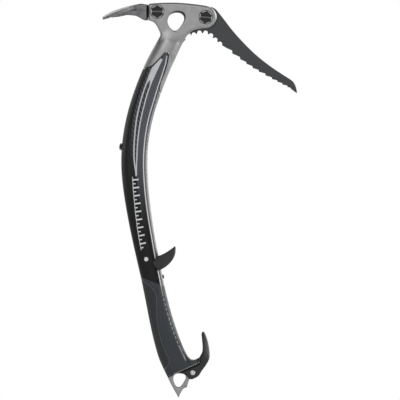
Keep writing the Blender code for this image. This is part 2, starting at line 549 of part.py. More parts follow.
def grip():
    """A rubber sleeve with softer inserts: a panel round its back and a strip down its front."""
    flange_top = line_region(FLANGE_LINE, GAP, -60)
    top = line_region(GRIP_TOP_LINE, -GAP, 60)
    panel, panel_pocket = rear_region(0), rear_region(GAP)
    strip, strip_pocket = front_region(0), front_region(GAP)
    made = loft("grip", grip_rings(), GRIP_RUBBER)
    cut(made, prism("panel_pocket", panel_pocket, -30, 30), prism("strip_pocket", strip_pocket, -30, 30))
    fuse(made, loft("grip_core", grip_rings(INSERT_DEPTH + GAP)))
    for name, outline in (("grip_rear_panel", panel), ("grip_front_strip", strip)):
        soft = loft(name, grip_rings(), SOFT_RUBBER)
        trim(soft, prism(name + "_outline", outline, -30, 30))
        cut(soft, loft(name + "_inside", grip_rings(INSERT_DEPTH)))
        cut(soft, prism(name + "_top", top, -30, 30))
    cut(made, prism("grip_top", top, -30, 30), prism("grip_bottom", flange_top, -30, 30))
    cut(made, shaft_loft("grip_bore", -290.0, -455.0, CORE_INSET - GAP, 11))


def spike():
    """Flange under the grip, stem inside the shaft, and a plate with the clip hole and the point."""
    flange = line_region(FLANGE_LINE, 0, -FLANGE_THICKNESS)
    made = loft("spike", grip_rings(), STEEL)
    trim(made, prism("flange_slab", flange, -30, 30))
    outline = [Vector(p) for p in SPIKE_REAR + SPIKE_FRONT + SPIKE_LUG]
    blade = plate("spike_plate", outline, SPIKE_HALF)
    fuse(made, blade, shaft_loft("spike_stem", STEM_TOP, STEM_END, BORE_INSET + GAP, 10))
    cut(made, prism("clip_hole", curve(CLIP_HOLE, 3, closed=True), -20, 20))
    cut(made, hole("pommel_screw_bore", POMMEL_SCREW, POMMEL_SCREW_RADIUS + GAP, -20, 20))
    cut(made, hole("stem_pin_hole", (centre_x(PIN_Z), PIN_Z), PIN_RADIUS + GAP, -20, 20))
    reach = half_width(PIN_Z) - CORE_INSET
    profile = [(PIN_RADIUS - 0.4, -reach, 0), (PIN_RADIUS, 0.4 - reach, 0), (PIN_RADIUS, reach - 0.4, 0),
               (PIN_RADIUS - 0.4, reach, 0)]
    turned("spike_pin", profile, middle(PIN_Z), (0, 1, 0), BRIGHT_STEEL)


def pommel():
    """A hook for the little finger, forked over the spike's plate and held by one screw."""
    top = line_region(FLANGE_LINE, -FLANGE_THICKNESS - GAP, -30)
    start, end = (Vector((p[0], line_height(top, p[0]))) for p in (POMMEL_UNDER[-1], POMMEL_HOOK[0]))
    outline = [start, end] + curve(POMMEL_HOOK, 2) + curve(POMMEL_TIP, 2) + curve(POMMEL_OUTSIDE, 2)
    outline += [Vector(p) for p in POMMEL_UNDER]
    made = plate("pommel", outline, POMMEL_HALF, BLACK_NYLON, edge=POMMEL_EDGE)
    low, high = POMMEL_HOOK[0][1] * MM, POMMEL_TIP[1][1] * MM
    for vertex in made.data.vertices:
        share = min(max((vertex.co.z - low) / (high - low), 0), 1)
        vertex.co.y *= 1 - share * (1 - POMMEL_TIP_HALF / POMMEL_HALF)
    cut(made, prism("pommel_fork", POMMEL_FORK, -SPIKE_HALF - GAP, SPIKE_HALF + GAP))
    cut(made, hole("pommel_screw_hole", POMMEL_SCREW, POMMEL_SCREW_RADIUS + GAP, -20, 20))
    cut(made, hole("pommel_screw_sink", POMMEL_SCREW, 3.7, -20, -POMMEL_SEAT))
    nut_half = POMMEL_NUT_FLATS / 2 + GAP
    cut(made, hole("pommel_nut_sink", POMMEL_SCREW, nut_half, POMMEL_NUT_SEAT, 20, sides=6))


def line_height(region, x):
    a, b = region[0], region[1]
    return a.y + (b.y - a.y) * (x - a.x) / (b.x - a.x)


def pommel_fasteners():
    base, shank = (POMMEL_SCREW[0], 0, POMMEL_SCREW[1]), POMMEL_SCREW_RADIUS
    seat = POMMEL_SEAT + GAP
    washer("pommel_screw_washer", base, (0, -1, 0), seat, seat + 0.6, shank + GAP, 3.4, BRIGHT_STEEL)
    low = POMMEL_NUT_SEAT + GAP
    nut("pommel_nut", POMMEL_SCREW, low, low + 2.9, POMMEL_NUT_FLATS, shank + GAP / 2, BRIGHT_STEEL)
    under = -(seat + 0.6 + GAP)
    profile = [(1.5, under - 0.4, 6), (1.5, under - 2.0, 6), (2.6, under - 2.0, 0), (3.1, under - 1.4, 0),
               (3.1, under, 0), (shank, under, 0), (shank, POMMEL_SCREW_END - 0.4, 0),
               (shank - 0.4, POMMEL_SCREW_END, 0)]
    turned("pommel_screw", profile, base, (0, 1, 0), BRIGHT_STEEL)


for old in list(bpy.data.objects):
    bpy.data.objects.remove(old)
head()
pick()
adze()
head_fasteners()
shaft()
shaft_fittings()
trigger()
grip()
spike()
pommel()
pommel_fasteners()
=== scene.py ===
"""The looks of the ice axe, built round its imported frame.

Lengths are in millimetres until a mesh is made, when MM turns them into metres. The floor's height, the
lights and the camera are in metres. Flat pieces take their outlines from sections of their CAD nodes.
The shaft and the grip are lofted from stations. Cast and moulded pieces are made as fields of signed
distance, so that their edges and joins are as round as a casting's, and a mesh is drawn where each
field is zero.
"""

import math

import bmesh
import bpy
import numpy as np
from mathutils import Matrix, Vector

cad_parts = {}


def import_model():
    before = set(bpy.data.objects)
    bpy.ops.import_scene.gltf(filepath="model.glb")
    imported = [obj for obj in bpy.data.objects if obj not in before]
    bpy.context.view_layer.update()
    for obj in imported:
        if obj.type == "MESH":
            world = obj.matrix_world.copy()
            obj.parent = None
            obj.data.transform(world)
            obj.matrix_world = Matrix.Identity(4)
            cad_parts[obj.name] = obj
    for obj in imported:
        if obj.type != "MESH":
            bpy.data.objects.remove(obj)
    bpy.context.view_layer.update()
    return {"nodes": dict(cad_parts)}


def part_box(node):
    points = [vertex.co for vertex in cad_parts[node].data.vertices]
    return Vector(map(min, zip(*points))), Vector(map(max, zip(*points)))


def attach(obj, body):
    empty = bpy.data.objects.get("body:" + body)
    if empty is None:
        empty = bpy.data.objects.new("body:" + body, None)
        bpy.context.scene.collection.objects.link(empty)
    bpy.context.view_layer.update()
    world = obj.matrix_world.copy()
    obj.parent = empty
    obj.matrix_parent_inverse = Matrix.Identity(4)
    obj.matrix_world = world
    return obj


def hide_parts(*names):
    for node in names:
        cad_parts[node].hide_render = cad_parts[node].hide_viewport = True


MM = 0.001
SHARP = math.radians(35)  # edges past this angle are shaded as edges
FINE = 0.55  # spacing of the grid that a large piece's field is sampled on

# Shaft: its centreline x at height z, and its oval's depth and half width.
SHAFT_CENTRE = [(-16, -1.9), (-32, -10.1), (-49.3, -18.9), (-79.6, -31.9), (-112, -42.9), (-150.3, -50.6),
                (-175.5, -52.2), (-226.1, -48.4), (-276.6, -40.0), (-327.1, -29.3), (-377.6, -18.3),
                (-410, -9.8), (-441, 2.4)]
SHAFT_DEPTH = [(-16, 28.6), (-49.3, 31.7), (-90, 33.0), (-138, 33.3), (-175.5, 33.6), (-226, 31.6),
               (-276.6, 29.0), (-327, 27.3), (-441, 27.0)]
SHAFT_HALF_WIDTH = [(-16, 12.5), (-100, 12.5), (-226, 12.0), (-327, 11.3), (-441, 11.0)]
OVAL_POWER = 2.3
SLEEVE_WALL = 1.8
SHAFT_INSET = 2.1  # how far the shaft is stepped down under the head's sleeve and the grip
SLEEVE_EDGE = [(-50.0, -61.5), (-41.4, -59.5), (-35.1, -57.7), (-30.4, -55.8), (-26.1, -52.2),
               (-17.2, -43.1), (-12.9, -38.9), (-10.4, -37.5), (-8.7, -39.3), (-9.2, -46.0),
               (-11.6, -57.2), (-15.3, -68.0), (-18.9, -77.0), (-20.5, -85.0), (-19.2, -91.5),
               (-14.0, -99.0)]

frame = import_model()


# Curves and outlines

def spline(knots):
    """A natural cubic spline through (position, value) knots, as a function of arrays of positions."""
    at, value = np.array(sorted(knots), dtype=float).T
    step, count = np.diff(at), len(at)
    rows, right = np.eye(count), np.zeros(count)
    for i in range(1, count - 1):
        rows[i, i - 1:i + 2] = step[i - 1], 2 * (step[i - 1] + step[i]), step[i]
        right[i] = 6 * ((value[i + 1] - value[i]) / step[i] - (value[i] - value[i - 1]) / step[i - 1])
    bend = np.linalg.solve(rows, right)

    def read(s):
        i = np.clip(np.searchsorted(at, s) - 1, 0, count - 2)
        a, b, h = at[i + 1] - s, s - at[i], step[i]
        return ((bend[i] * a ** 3 + bend[i + 1] * b ** 3) / (6 * h)
                + (value[i] / h - bend[i] * h / 6) * a + (value[i + 1] / h - bend[i + 1] * h / 6) * b)

    return read


centre_x, depth, half_width = spline(SHAFT_CENTRE), spline(SHAFT_DEPTH), spline(SHAFT_HALF_WIDTH)


def smooth_line(points, steps=6, corner=38, closed=False):
    """A line through the points, curved where it turns gently and sharp where it turns past a corner."""
    points = np.asarray(points, dtype=float)
    count = len(points)
    before = points - np.roll(points, 1, axis=0)
    after = np.roll(points, -1, axis=0) - points
    if not closed:
        before[0], after[-1] = after[0], before[-1]
    before /= np.linalg.norm(before, axis=1)[:, None]
    length = np.linalg.norm(after, axis=1)[:, None]
    after /= length
    gentle = (before * after).sum(1) > math.cos(math.radians(corner))
    mean = before + after
    mean /= np.maximum(np.linalg.norm(mean, axis=1), 1e-9)[:, None]
    leave, arrive = np.where(gentle[:, None], mean, after), np.where(gentle[:, None], mean, before)
    line = []
    for i in range(count if closed else count - 1):
        j = (i + 1) % count
        t = np.arange(steps)[:, None] / steps
        line.append((2 * t ** 3 - 3 * t ** 2 + 1) * points[i] + (3 * t ** 2 - 2 * t ** 3) * points[j]
                    + length[i] * ((t ** 3 - 2 * t ** 2 + t) * leave[i] + (t ** 3 - t ** 2) * arrive[j]))
    if not closed:
        line.append(points[-1:])
    return np.concatenate(line)


def area(loop):
    """The area inside a loop, negative where it runs clockwise."""
    x, z = loop.T
    return (np.dot(x, np.roll(z, -1)) - np.dot(z, np.roll(x, -1))) / 2


def in_order(loop):
    """The loop from its lowest point, anticlockwise, so that it is the same however it was found."""
    loop = np.roll(loop, -np.lexsort(loop.T)[0], axis=0)
    return loop if area(loop) > 0 else np.roll(loop[::-1], 1, axis=0)


def without_straight_points(loop, tolerance=0.012):
    """The loop without the points that lie on a straight line between their neighbours."""
    kept = list(loop)
    i = 0
    while i < len(kept):
        a, b, c = kept[i - 1], kept[i], kept[(i + 1) % len(kept)]
        run = c - a
        off = abs(run[0] * (b - a)[1] - run[1] * (b - a)[0]) / max(np.hypot(*run), 1e-9)
        if off < tolerance:
            kept.pop(i)
        else:
            i += 1
    return np.array(kept)


def piece_name(node):
    return "".join(word.title() for word in node.replace("trigger_plug", "trigger_hole_plug").split("_"))


def cad_corners(node, margin=2.0):
    """The corners of the box round a CAD node, with a margin, in millimetres."""
    low, high = np.array(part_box(node)) / MM
    return low - margin, high + margin


def section(node, y):
    """The closed outlines where a CAD node crosses the plane at y, the largest first."""
    cut = bmesh.new()
    cut.from_mesh(frame["nodes"][node].data)
    bmesh.ops.remove_doubles(cut, verts=cut.verts, dist=1e-6)
    everything = cut.verts[:] + cut.edges[:] + cut.faces[:]
    bmesh.ops.bisect_plane(cut, geom=everything, plane_co=(0, y * MM, 0), plane_no=(0, 1, 0),
                           clear_inner=True, clear_outer=True)
    bmesh.ops.remove_doubles(cut, verts=cut.verts, dist=1e-6)
    edges, loops = dict.fromkeys(cut.edges), []
    while edges:
        start, here = edges.popitem()[0].verts
        loop = [start]
        while here is not start:
            loop.append(here)
            onward = next((e for e in here.link_edges if e in edges), None)
            if onward is None:
                break
            del edges[onward]
            here = onward.other_vert(here)
        loop = in_order(np.array([(v.co.x, v.co.z) for v in loop]) / MM)
        loops.append(without_straight_points(loop))
    cut.free()
    loops = [loop for loop in loops if len(loop) > 2]
    return sorted(loops, key=lambda loop: (area(loop), *loop[0]), reverse=True)


# Fields of signed distance, negative inside, over arrays x, y, z of any shapes that go together

def from_outline(x, z, outline):
    """The distance to a closed outline in the X-Z plane."""
    nearest = np.full(np.broadcast(x, z).shape, 1e9)
    inside = np.zeros(nearest.shape, dtype=bool)
    for (ax, az), (bx, bz) in zip(outline, np.roll(outline, -1, axis=0)):
        ex, ez = bx - ax, bz - az
        t = np.clip(((x - ax) * ex + (z - az) * ez) / max(ex * ex + ez * ez, 1e-12), 0, 1)
        nearest = np.minimum(nearest, (x - ax - t * ex) ** 2 + (z - az - t * ez) ** 2)
        if az != bz:
            inside ^= ((az > z) != (bz > z)) & (x < (bx - ax) * (z - az) / (bz - az) + ax)
    return np.where(inside, -1, 1) * np.sqrt(nearest)


def rounded(a, b, radius):
    """What lies inside both a and b, with the edge between them rounded."""
    a, b = a + radius, b + radius
    return np.minimum(np.maximum(a, b), 0) + np.hypot(np.maximum(a, 0), np.maximum(b, 0)) - radius


def join(a, b, blend):
    """What lies inside a or b, with a fillet between them."""
    near = np.maximum(blend - np.abs(a - b), 0) / blend
    return np.minimum(a, b) - near * near * blend / 4


def carve(a, b, blend=0.8):
    """What lies inside a and outside b, with the edge between them rounded."""
    return -join(-a, b, blend)


def slope(z):
    return centre_x(z + 0.5) - centre_x(z - 0.5)


def station(x, z):
    """The station on the shaft's centreline that a point is abreast of, and its offset to the front."""
    at = z + (x - centre_x(z)) * slope(z) / (1 + slope(z) ** 2)
    at = at + ((x - centre_x(at)) * slope(at) + (z - at)) / (1 + slope(at) ** 2)
    return at, ((x - centre_x(at)) - (z - at) * slope(at)) / np.hypot(1, slope(at))


def from_oval(u, y, half_depth, half_side, power=OVAL_POWER):
    """The distance, near enough, to an oval with its long way along u."""
    size = ((np.abs(u) / half_depth) ** power + (np.abs(y) / half_side) ** power) ** (1 / power)
    return np.hypot(u, y) * (1 - 1 / np.maximum(size, 1e-6))


def from_hexagon(a, b, half_flats):
    """The distance to a hexagon, two of its corners on the b axis."""
    ways = [(math.cos(t), math.sin(t)) for t in (0, math.pi / 3, -math.pi / 3)]
    return np.maximum.reduce([np.abs(a * c + b * s) for c, s in ways]) - half_flats


def beside(line, x, z):
    """The distance of a point above a line in the X-Z plane."""
    (ax, az), (bx, bz) = line
    return ((z - az) * (bx - ax) - (x - ax) * (bz - az)) / math.hypot(bx - ax, bz - az)


def tapered(x, start, end, half, end_half):
    """A half width that changes from half at start to end_half at end."""
    return half - np.clip((x - start) / (end - start), 0, 1) * (half - end_half)


def rotated(a, b, turn):
    """Coordinates a and b on axes that are turned by an angle."""
    return a * math.cos(turn) + b * math.sin(turn), b * math.cos(turn) - a * math.sin(turn)


# Meshes

def linked(name, data, place=(0, 0, 0)):
    """A new object in the scene."""
    made = bpy.data.objects.new(name, data)
    made.location = place
    bpy.context.scene.collection.objects.link(made)
    return made


def new_object(name, points, faces):
    mesh = bpy.data.meshes.new(name)
    mesh.from_pydata(np.asarray(points, dtype=float) * MM, [], faces)
    mesh.update()
    mesh.shade_smooth()
    return linked(name, mesh)


CORNERS = np.array([(i, j, k) for i in (0, 1) for j in (0, 1) for k in (0, 1)])
CELL_EDGES = [(a, b) for a in range(8) for b in range(a + 1, 8) if abs(CORNERS[a] - CORNERS[b]).sum() == 1]


def crossings(value, cells):
    """Within each cell, the mean of the points where the field is zero on the cell's edges."""
    corner = np.stack([value[tuple((cells + c).T)] for c in CORNERS], axis=1)
    total, count = np.zeros((len(cells), 3)), np.zeros(len(cells))
    for a, b in CELL_EDGES:
        split = (corner[:, a] < 0) != (corner[:, b] < 0)
        t = np.where(split, corner[:, a] / np.where(split, corner[:, a] - corner[:, b], 1), 0)
        total += split[:, None] * (CORNERS[a] + t[:, None] * (CORNERS[b] - CORNERS[a]))
        count += split
    return cells + total / count[:, None]


def relaxed(points, faces, rounds):
    """The points, each moved part of the way to the mean of its neighbours."""
    pairs = np.concatenate([faces[:, (k, (k + 1) % 4)] for k in range(4)])
    count = np.bincount(pairs.ravel(), minlength=len(points))[:, None]
    for _ in range(rounds):
        total = np.zeros_like(points)
        for axis in range(3):
            total[:, axis] = (np.bincount(pairs[:, 0], points[pairs[:, 1], axis], len(points))
                              + np.bincount(pairs[:, 1], points[pairs[:, 0], axis], len(points)))
        points = points + 0.5 * (total / count - points)
    return points


def quads(inside, number):
    """A quad across each grid edge that the surface crosses, wound to face outwards."""
    faces = []
    for axis in range(3):
        one, two = (axis + 1) % 3, (axis + 2) % 3
        here, there = ([slice(1, n - 1) for n in inside.shape] for _ in range(2))
        here[axis], there[axis] = slice(0, -1), slice(1, None)
        a, b = inside[tuple(here)], inside[tuple(there)]
        for outward, found in ((1, a & ~b), (-1, b & ~a)):
            at = np.argwhere(found)
            at[:, [one, two]] += 1
            around = []
            for back in ((1, 1), (0, 1), (0, 0), (1, 0))[::outward]:
                cell = at.copy()
                cell[:, [one, two]] -= back
                around.append(number[tuple(cell.T)])
            faces.append(np.stack(around, axis=1))
    return np.concatenate(faces)


def surface(name, field, low, high, step, rounds=2):
    """A closed mesh drawn where the field is zero, by surface nets."""
    axes = [np.arange(a - 2 * step, b + 3 * step, step) for a, b in zip(low, high)]
    x, y, z = axes[0][:, None, None], axes[1][None, :, None], axes[2][None, None, :]
    value = np.ascontiguousarray(np.broadcast_to(field(x, y, z), [len(a) for a in axes]))
    inside = value < 0
    filled = sum(inside[tuple(slice(c, n - 1 + c) for c, n in zip(corner, inside.shape))].astype(np.int8)
                 for corner in CORNERS)
    cells = np.argwhere((filled > 0) & (filled < 8))
    number = np.full(filled.shape, -1)
    number[tuple(cells.T)] = np.arange(len(cells))
    faces = quads(inside, number)
    points = relaxed(crossings(value, cells), faces, rounds)
    return new_object(name, np.array([a[0] for a in axes]) + points * step, faces.tolist())


def loft(name, rings, closed=False):
    """A mesh through rings of equal length, capped at its ends unless it closes on itself."""
    rings = np.asarray(rings)
    count, size = rings.shape[:2]
    faces = []
    for i in range(count if closed else count - 1):
        low, high = i * size, ((i + 1) % count) * size
        faces += [(low + k, low + (k + 1) % size, high + (k + 1) % size, high + k) for k in range(size)]
    if not closed:
        faces += [tuple(range(size))[::-1], tuple(range((count - 1) * size, count * size))]
    made = new_object(name, rings.reshape(-1, 3), faces)
    tidy = bmesh.new()
    tidy.from_mesh(made.data)
    bmesh.ops.recalc_face_normals(tidy, faces=tidy.faces)
    tidy.to_mesh(made.data)
    tidy.free()
    return made


def prism(name, outline, reach=30):
    """An outline in the X-Z plane, made solid as far as reach on both sides of it."""
    x, z = np.asarray(outline).T
    return loft(name, [np.column_stack([x, np.full(len(x), y), z]) for y in (-reach, reach)])


def settled(target, *steps):
    """The object after its Boolean steps, which are (operation, other object) pairs."""
    for operation, other in steps:
        modifier = target.modifiers.new(other.name, 'BOOLEAN')
        modifier.operation, modifier.object = operation, other
    evaluated = target.evaluated_get(bpy.context.evaluated_depsgraph_get())
    mesh = bpy.data.meshes.new_from_object(evaluated)
    target.modifiers.clear()
    target.data = mesh
    for _, other in steps:
        bpy.data.objects.remove(other)
    mesh.shade_smooth()
    mesh.set_sharp_from_angle(angle=SHARP)
    return target


def turned(name, profile, base, axis, count=48, closed=False):
    """A turned solid. The profile holds radius and height, then 6 where the section is a hexagon."""
    up = Vector(axis).normalized()
    start = Vector((0, 0, 1)) if abs(up.z) < 0.9 else Vector((1, 0, 0))
    start = (start - up * start.dot(up)).normalized()
    turn = math.tau * np.arange(count) / count
    around = np.outer(np.cos(turn), start) + np.outer(np.sin(turn), up.cross(start))
    rings = []
    for radius, height, *sides in profile:
        reach = np.full(count, float(radius))
        if sides:
            reach /= np.cos(turn % (math.tau / sides[0]) - math.pi / sides[0])
        rings.append(np.array(base) + np.array(up) * height + around * reach[:, None])
    made = loft(name, rings, closed)
    made.data.set_sharp_from_angle(angle=SHARP)
    return made


# Head, pick and adze

HEAD_HALF, HEAD_ROUNDING, HEAD_CHAMFER = 8.0, 0.9, 1.9
HEAD_SECTION_Y = HEAD_HALF - 1.1  # where the plate's outline is read from its node
SOCKET_TOP, SOCKET_FILLET = -15.0, 4.0
SOCKET_SIDE = [(-109, 12.5), (-38, 12.5), (-31, 12.0), (-25, 10.9), (-20, 9.3), (-15, 7.4)]
PLATE_END, PLATE_THINNING = -31.0, 6.0
BORE_TOP = -37.9
HOLE_SPLAY = (1.7, 2.3)  # how far the near end of the carabiner hole is out of line with its far end
HOLE_REACH = 15  # the hole and its rim lie within this distance of the origin
SLOT_GAP = 0.4
PICK_SLOT_HALF, ADZE_SLOT_HALF, ADZE_ROOT_X = 2.3, 3.3, -36.9
HEAD_BOLTS = {"adze": (-23.4, 12.6), "pick": (38.1, 5.4)}
BOLT_SEAT, BOLT_SINK_RADIUS, BOLT_HOLE_RADIUS = 6.5, 8.4, 4.3
NUT_SEAT, NUT_SINK_HALF_FLATS = 5.2, 6.8
PICK_HALF = 2.0


def sleeve_cut(x, z):
    """The part of the shaft that the head's sleeve leaves bare."""
    edge = smooth_line(SLEEVE_EDGE)
    below = np.concatenate([[(-80, SLEEVE_EDGE[0][1])], edge, [(20, -120), (-80, -120)]])
    return from_outline(x, z, below)


def head_body(x, y, z, flat):
    """The plate and the bored socket that it grows out of. The plate thins as it enters the socket."""
    at, u = station(x, z)
    half_depth, side = depth(at) / 2, np.interp(at, *np.array(SOCKET_SIDE).T)
    silhouette = np.minimum(flat, np.maximum(np.abs(u) - half_depth, z - SOCKET_TOP))
    thin = PLATE_THINNING * np.clip((SOCKET_TOP - z) / (SOCKET_TOP - PLATE_END), 0, 1) ** 2
    ends, sides = np.maximum(flat, PLATE_END - z), np.abs(y) - HEAD_HALF + thin
    plate = carve(rounded(ends, sides, HEAD_ROUNDING), -(ends + sides + HEAD_CHAMFER) / math.sqrt(2))
    socket = np.maximum(from_oval(u, y, half_depth, side), at - SOCKET_TOP)
    shape = np.maximum(join(plate, socket, SOCKET_FILLET), silhouette)
    bore = np.maximum(from_oval(u, y, half_depth - SLEEVE_WALL, side - SLEEVE_WALL), at - BORE_TOP)
    return carve(carve(shape, bore, 0.3), sleeve_cut(x, z), 0.7)


def carabiner_hole(x, y, z, outline):
    hole = from_outline(x, z, outline)
    splayed = from_outline(x - HOLE_SPLAY[0], z - HOLE_SPLAY[1], outline)
    share = np.clip((HEAD_HALF - y) / (2 * HEAD_HALF), 0, 1)
    return np.minimum(hole, hole + (splayed - hole) * share)


def head_field(x, y, z):
    outer, *holes = section("head", HEAD_SECTION_Y)
    carabiner = min(holes, key=lambda loop: np.linalg.norm(loop.mean(axis=0)))
    shape = head_body(x, y, z, from_outline(x, z, outer))
    shape = carve(shape, carabiner_hole(x, y, z, carabiner), 1.0)
    gap = from_outline(x, z, section("pick", 0.5)[0]) - SLOT_GAP
    shape = carve(shape, np.maximum(gap, np.abs(y) - PICK_SLOT_HALF), 0.4)
    gap = np.maximum(from_outline(x, z, section("adze", 0.5)[0]) - SLOT_GAP, ADZE_ROOT_X - x)
    shape = carve(shape, np.maximum(gap, np.abs(y) - ADZE_SLOT_HALF), 0.4)
    for cx, cz in HEAD_BOLTS.values():
        radius = np.hypot(x - cx, z - cz)
        shape = carve(shape, radius - BOLT_HOLE_RADIUS, 0.3)
        shape = carve(shape, np.maximum(radius - BOLT_SINK_RADIUS, y + BOLT_SEAT), 0.4)
        nut = np.maximum(from_hexagon(x - cx, z - cz, NUT_SINK_HALF_FLATS), NUT_SEAT - y)
        shape = carve(shape, nut, 0.5)
    return shape


def pick_field(x, y, z):
    outer, bore = section("pick", 0.5)[:2]
    flat = carve(from_outline(x, z, outer), from_outline(x, z, bore), 0.2)
    return rounded(flat, np.abs(y) - PICK_HALF, 0.45)


ADZE_BLADE = np.array([  # x, top at the middle, half width, camber, thickness
    (-44.0, 21.8, 6.8, 0.6, 5.0), (-52.0, 20.7, 8.6, 1.0, 4.6), (-61.0, 18.7, 13.6, 1.8, 4.2),
    (-72.0, 15.5, 19.4, 2.6, 3.8), (-83.6, 11.0, 23.4, 3.2, 3.4), (-92.7, 6.2, 25.2, 2.0, 2.4)])
ADZE_WEB = np.array([  # x, bottom, top, half width
    (-36.9, 0.9, 22.2, 7.6), (-41.9, 2.3, 22.0, 7.2), (-46.0, 5.0, 21.4, 6.2), (-50.5, 7.2, 20.2, 5.2),
    (-61.0, 8.2, 17.4, 4.2), (-72.0, 5.9, 14.2, 3.4), (-82.0, 4.9, 10.4, 2.6)])
ADZE_TANG_HALF = 3.0
ADZE_NECK_HALF, ADZE_NECK_X, ADZE_NECK_REACH = 5.2, -36.3, 1.3


def adze_blade(x, y, z):
    """The blade, which is cambered across and thins towards its edge."""
    along = ADZE_BLADE[::-1, 0]
    top, half, camber, thick = (spline(ADZE_BLADE[:, (0, k)].tolist())(x) for k in range(1, 5))
    surface_z = top - camber * (y / half) ** 2
    lean = np.hypot(1, np.gradient(ADZE_BLADE[:, 1], ADZE_BLADE[:, 0]).mean())
    middle = (np.abs(z - surface_z + thick / 2) - thick / 2) / lean
    ends = np.maximum(x - along[-1] - 1.0, along[0] - x)
    return rounded(middle, np.maximum(np.abs(y) - half, ends), 0.7)


def adze_field(x, y, z):
    """The blade on its web, with the neck and the tang that go into the head."""
    along = ADZE_WEB[::-1, 0]
    bottom, crown, side = (np.interp(x, along, ADZE_WEB[::-1, k]) for k in (1, 2, 3))
    tall = np.abs(z - (bottom + crown) / 2) - (crown - bottom) / 2
    web = rounded(rounded(tall, np.abs(y) - side, 1.5), np.maximum(along[0] - x, x - along[-1]), 0.6)
    outer, bore = section("adze", 0.5)[:2]
    tang = np.maximum(from_outline(x, z, outer), along[-1] - 2 - x)
    tang = rounded(tang, np.abs(y) - ADZE_TANG_HALF, 0.4)
    neck = rounded(np.maximum(tall + 0.7, np.abs(y) - ADZE_NECK_HALF),
                   np.abs(x - ADZE_NECK_X) - ADZE_NECK_REACH, 0.2)
    shape = np.minimum(np.minimum(join(adze_blade(x, y, z), web, 4.0), tang), neck)
    return carve(shape, from_outline(x, z, bore), 0.3)


# Fasteners through the head

BOLT_HALF_FLATS, BOLT_RADIUS, BOLT_TOP, BOLT_UNDER, BOLT_END = 7.0, 4.0, -12.4, -7.9, 10.9
BOLT_SLOT_HALF, BOLT_SLOT_DEPTH = 1.7, 2.0
HEAD_TURNS, SLOT_TURNS = {"adze": 0.0, "pick": -0.2}, {"adze": 0.0, "pick": -0.1}
NUT = (5.5, 10.3, 6.5, 4.15)  # ends along Y, half the flats and bore radius
POMMEL_NUT = (6.3, 9.2, 4.0, 2.65)
CHAMFER_SLOPE = 1.7


def corner_chamfer(radius, half_flats, inwards):
    """The cone that takes the corners off a hexagon at a distance inwards from its end."""
    return (radius - half_flats - inwards * CHAMFER_SLOPE) / math.hypot(1, CHAMFER_SLOPE)


def bolt_field(centre, slot_turn, head_turn):
    """A hexagon bolt with a slot in its chamfered head."""
    def field(x, y, z):
        a, b = x - centre[0], z - centre[1]
        radius = np.hypot(a, b)
        hexagon = from_hexagon(*rotated(a, b, head_turn), BOLT_HALF_FLATS)
        head = rounded(hexagon, np.maximum(BOLT_TOP - y, y - BOLT_UNDER), 0.4)
        head = np.maximum(head, corner_chamfer(radius, BOLT_HALF_FLATS, y - BOLT_TOP) + 0.2)
        shank = rounded(radius - BOLT_RADIUS, y - BOLT_END, 0.8)
        shape = np.minimum(head, np.maximum(shank, BOLT_UNDER - 1 - y))
        across = np.abs(rotated(a, b, slot_turn)[1])
        return carve(shape, np.maximum(across - BOLT_SLOT_HALF, y - BOLT_TOP - BOLT_SLOT_DEPTH), 0.4)

    return field


def nut_field(centre, low, high, half_flats, bore):
    """A hexagon nut, chamfered at its outer end."""
    def field(x, y, z):
        a, b = x - centre[0], z - centre[1]
        radius = np.hypot(a, b)
        shape = rounded(from_hexagon(a, b, half_flats), np.maximum(low - y, y - high), 0.3)
        shape = np.maximum(shape, corner_chamfer(radius, half_flats, high - y) - 0.2)
        return carve(shape, radius - bore, 0.5)

    return field


# Shaft and grip

GRIP_TOP_LINE = ((-44.5, -322.7), (-15.0, -334.7))
FLANGE_LINE = ((-9.7, -447.7), (29.4, -431.0))
GRIP_STATIONS = [((-45.3, -318.0), (-18.9, -312.1), 11.6), ((-42.8, -329.5), (-16.4, -323.8), 12.0),
                 ((-37.7, -355.0), (-10.8, -348.8), 13.2), ((-32.6, -381.2), (-4.0, -373.8), 13.7),
                 ((-26.7, -407.0), (4.3, -398.4), 13.8), ((-21.1, -426.0), (12.6, -418.1), 13.8),
                 ((-18.3, -432.6), (15.8, -423.5), 13.8), ((-15.7, -438.4), (19.2, -426.8), 13.7),
                 ((-13.7, -442.6), (24.0, -427.3), 13.6), ((-12.6, -444.8), (29.6, -424.8), 13.4),
                 ((-9.0, -452.6), (29.6, -436.4), 13.0)]
PANEL_EDGE = [(-46.0, -322.6), (-41.6, -326.8), (-34.4, -331.8), (-27.6, -338.0), (-24.4, -344.0),
              (-23.4, -354.0), (-22.5, -379.5), (-18.6, -399.7), (-11.2, -419.9), (-7.2, -428.0),
              (-8.4, -434.0), (-14.0, -440.5)]
STRIP_EDGE = [(-18.4, -330.0), (-17.4, -336.1), (-12.9, -356.8), (-5.6, -381.5), (3.3, -406.0),
              (10.0, -421.0)]
INSERT_DEPTH = 1.5
TOP_GAP, FLANGE_GAP, POCKET_GAP, BORE_GAP = 0.04, 0.05, 0.08, 0.3
POCKET_ROUNDING, RIM_ROUNDING = 0.7, 0.9
SQUARE_FROM, SQUARE_OVER, SQUARE_POWER = 380.0, 60.0, 0.9
EASE_OVER = 7.0  # the seams' rounding fades over this distance towards the middle plane
SHAFT_TOP, SHAFT_END, SKIN_TOP, SKIN_END = -38.5, -441.0, -30.0, -345.0
SLEEVE_GAP = 0.45  # between the head's sleeve and the shaft's bare part


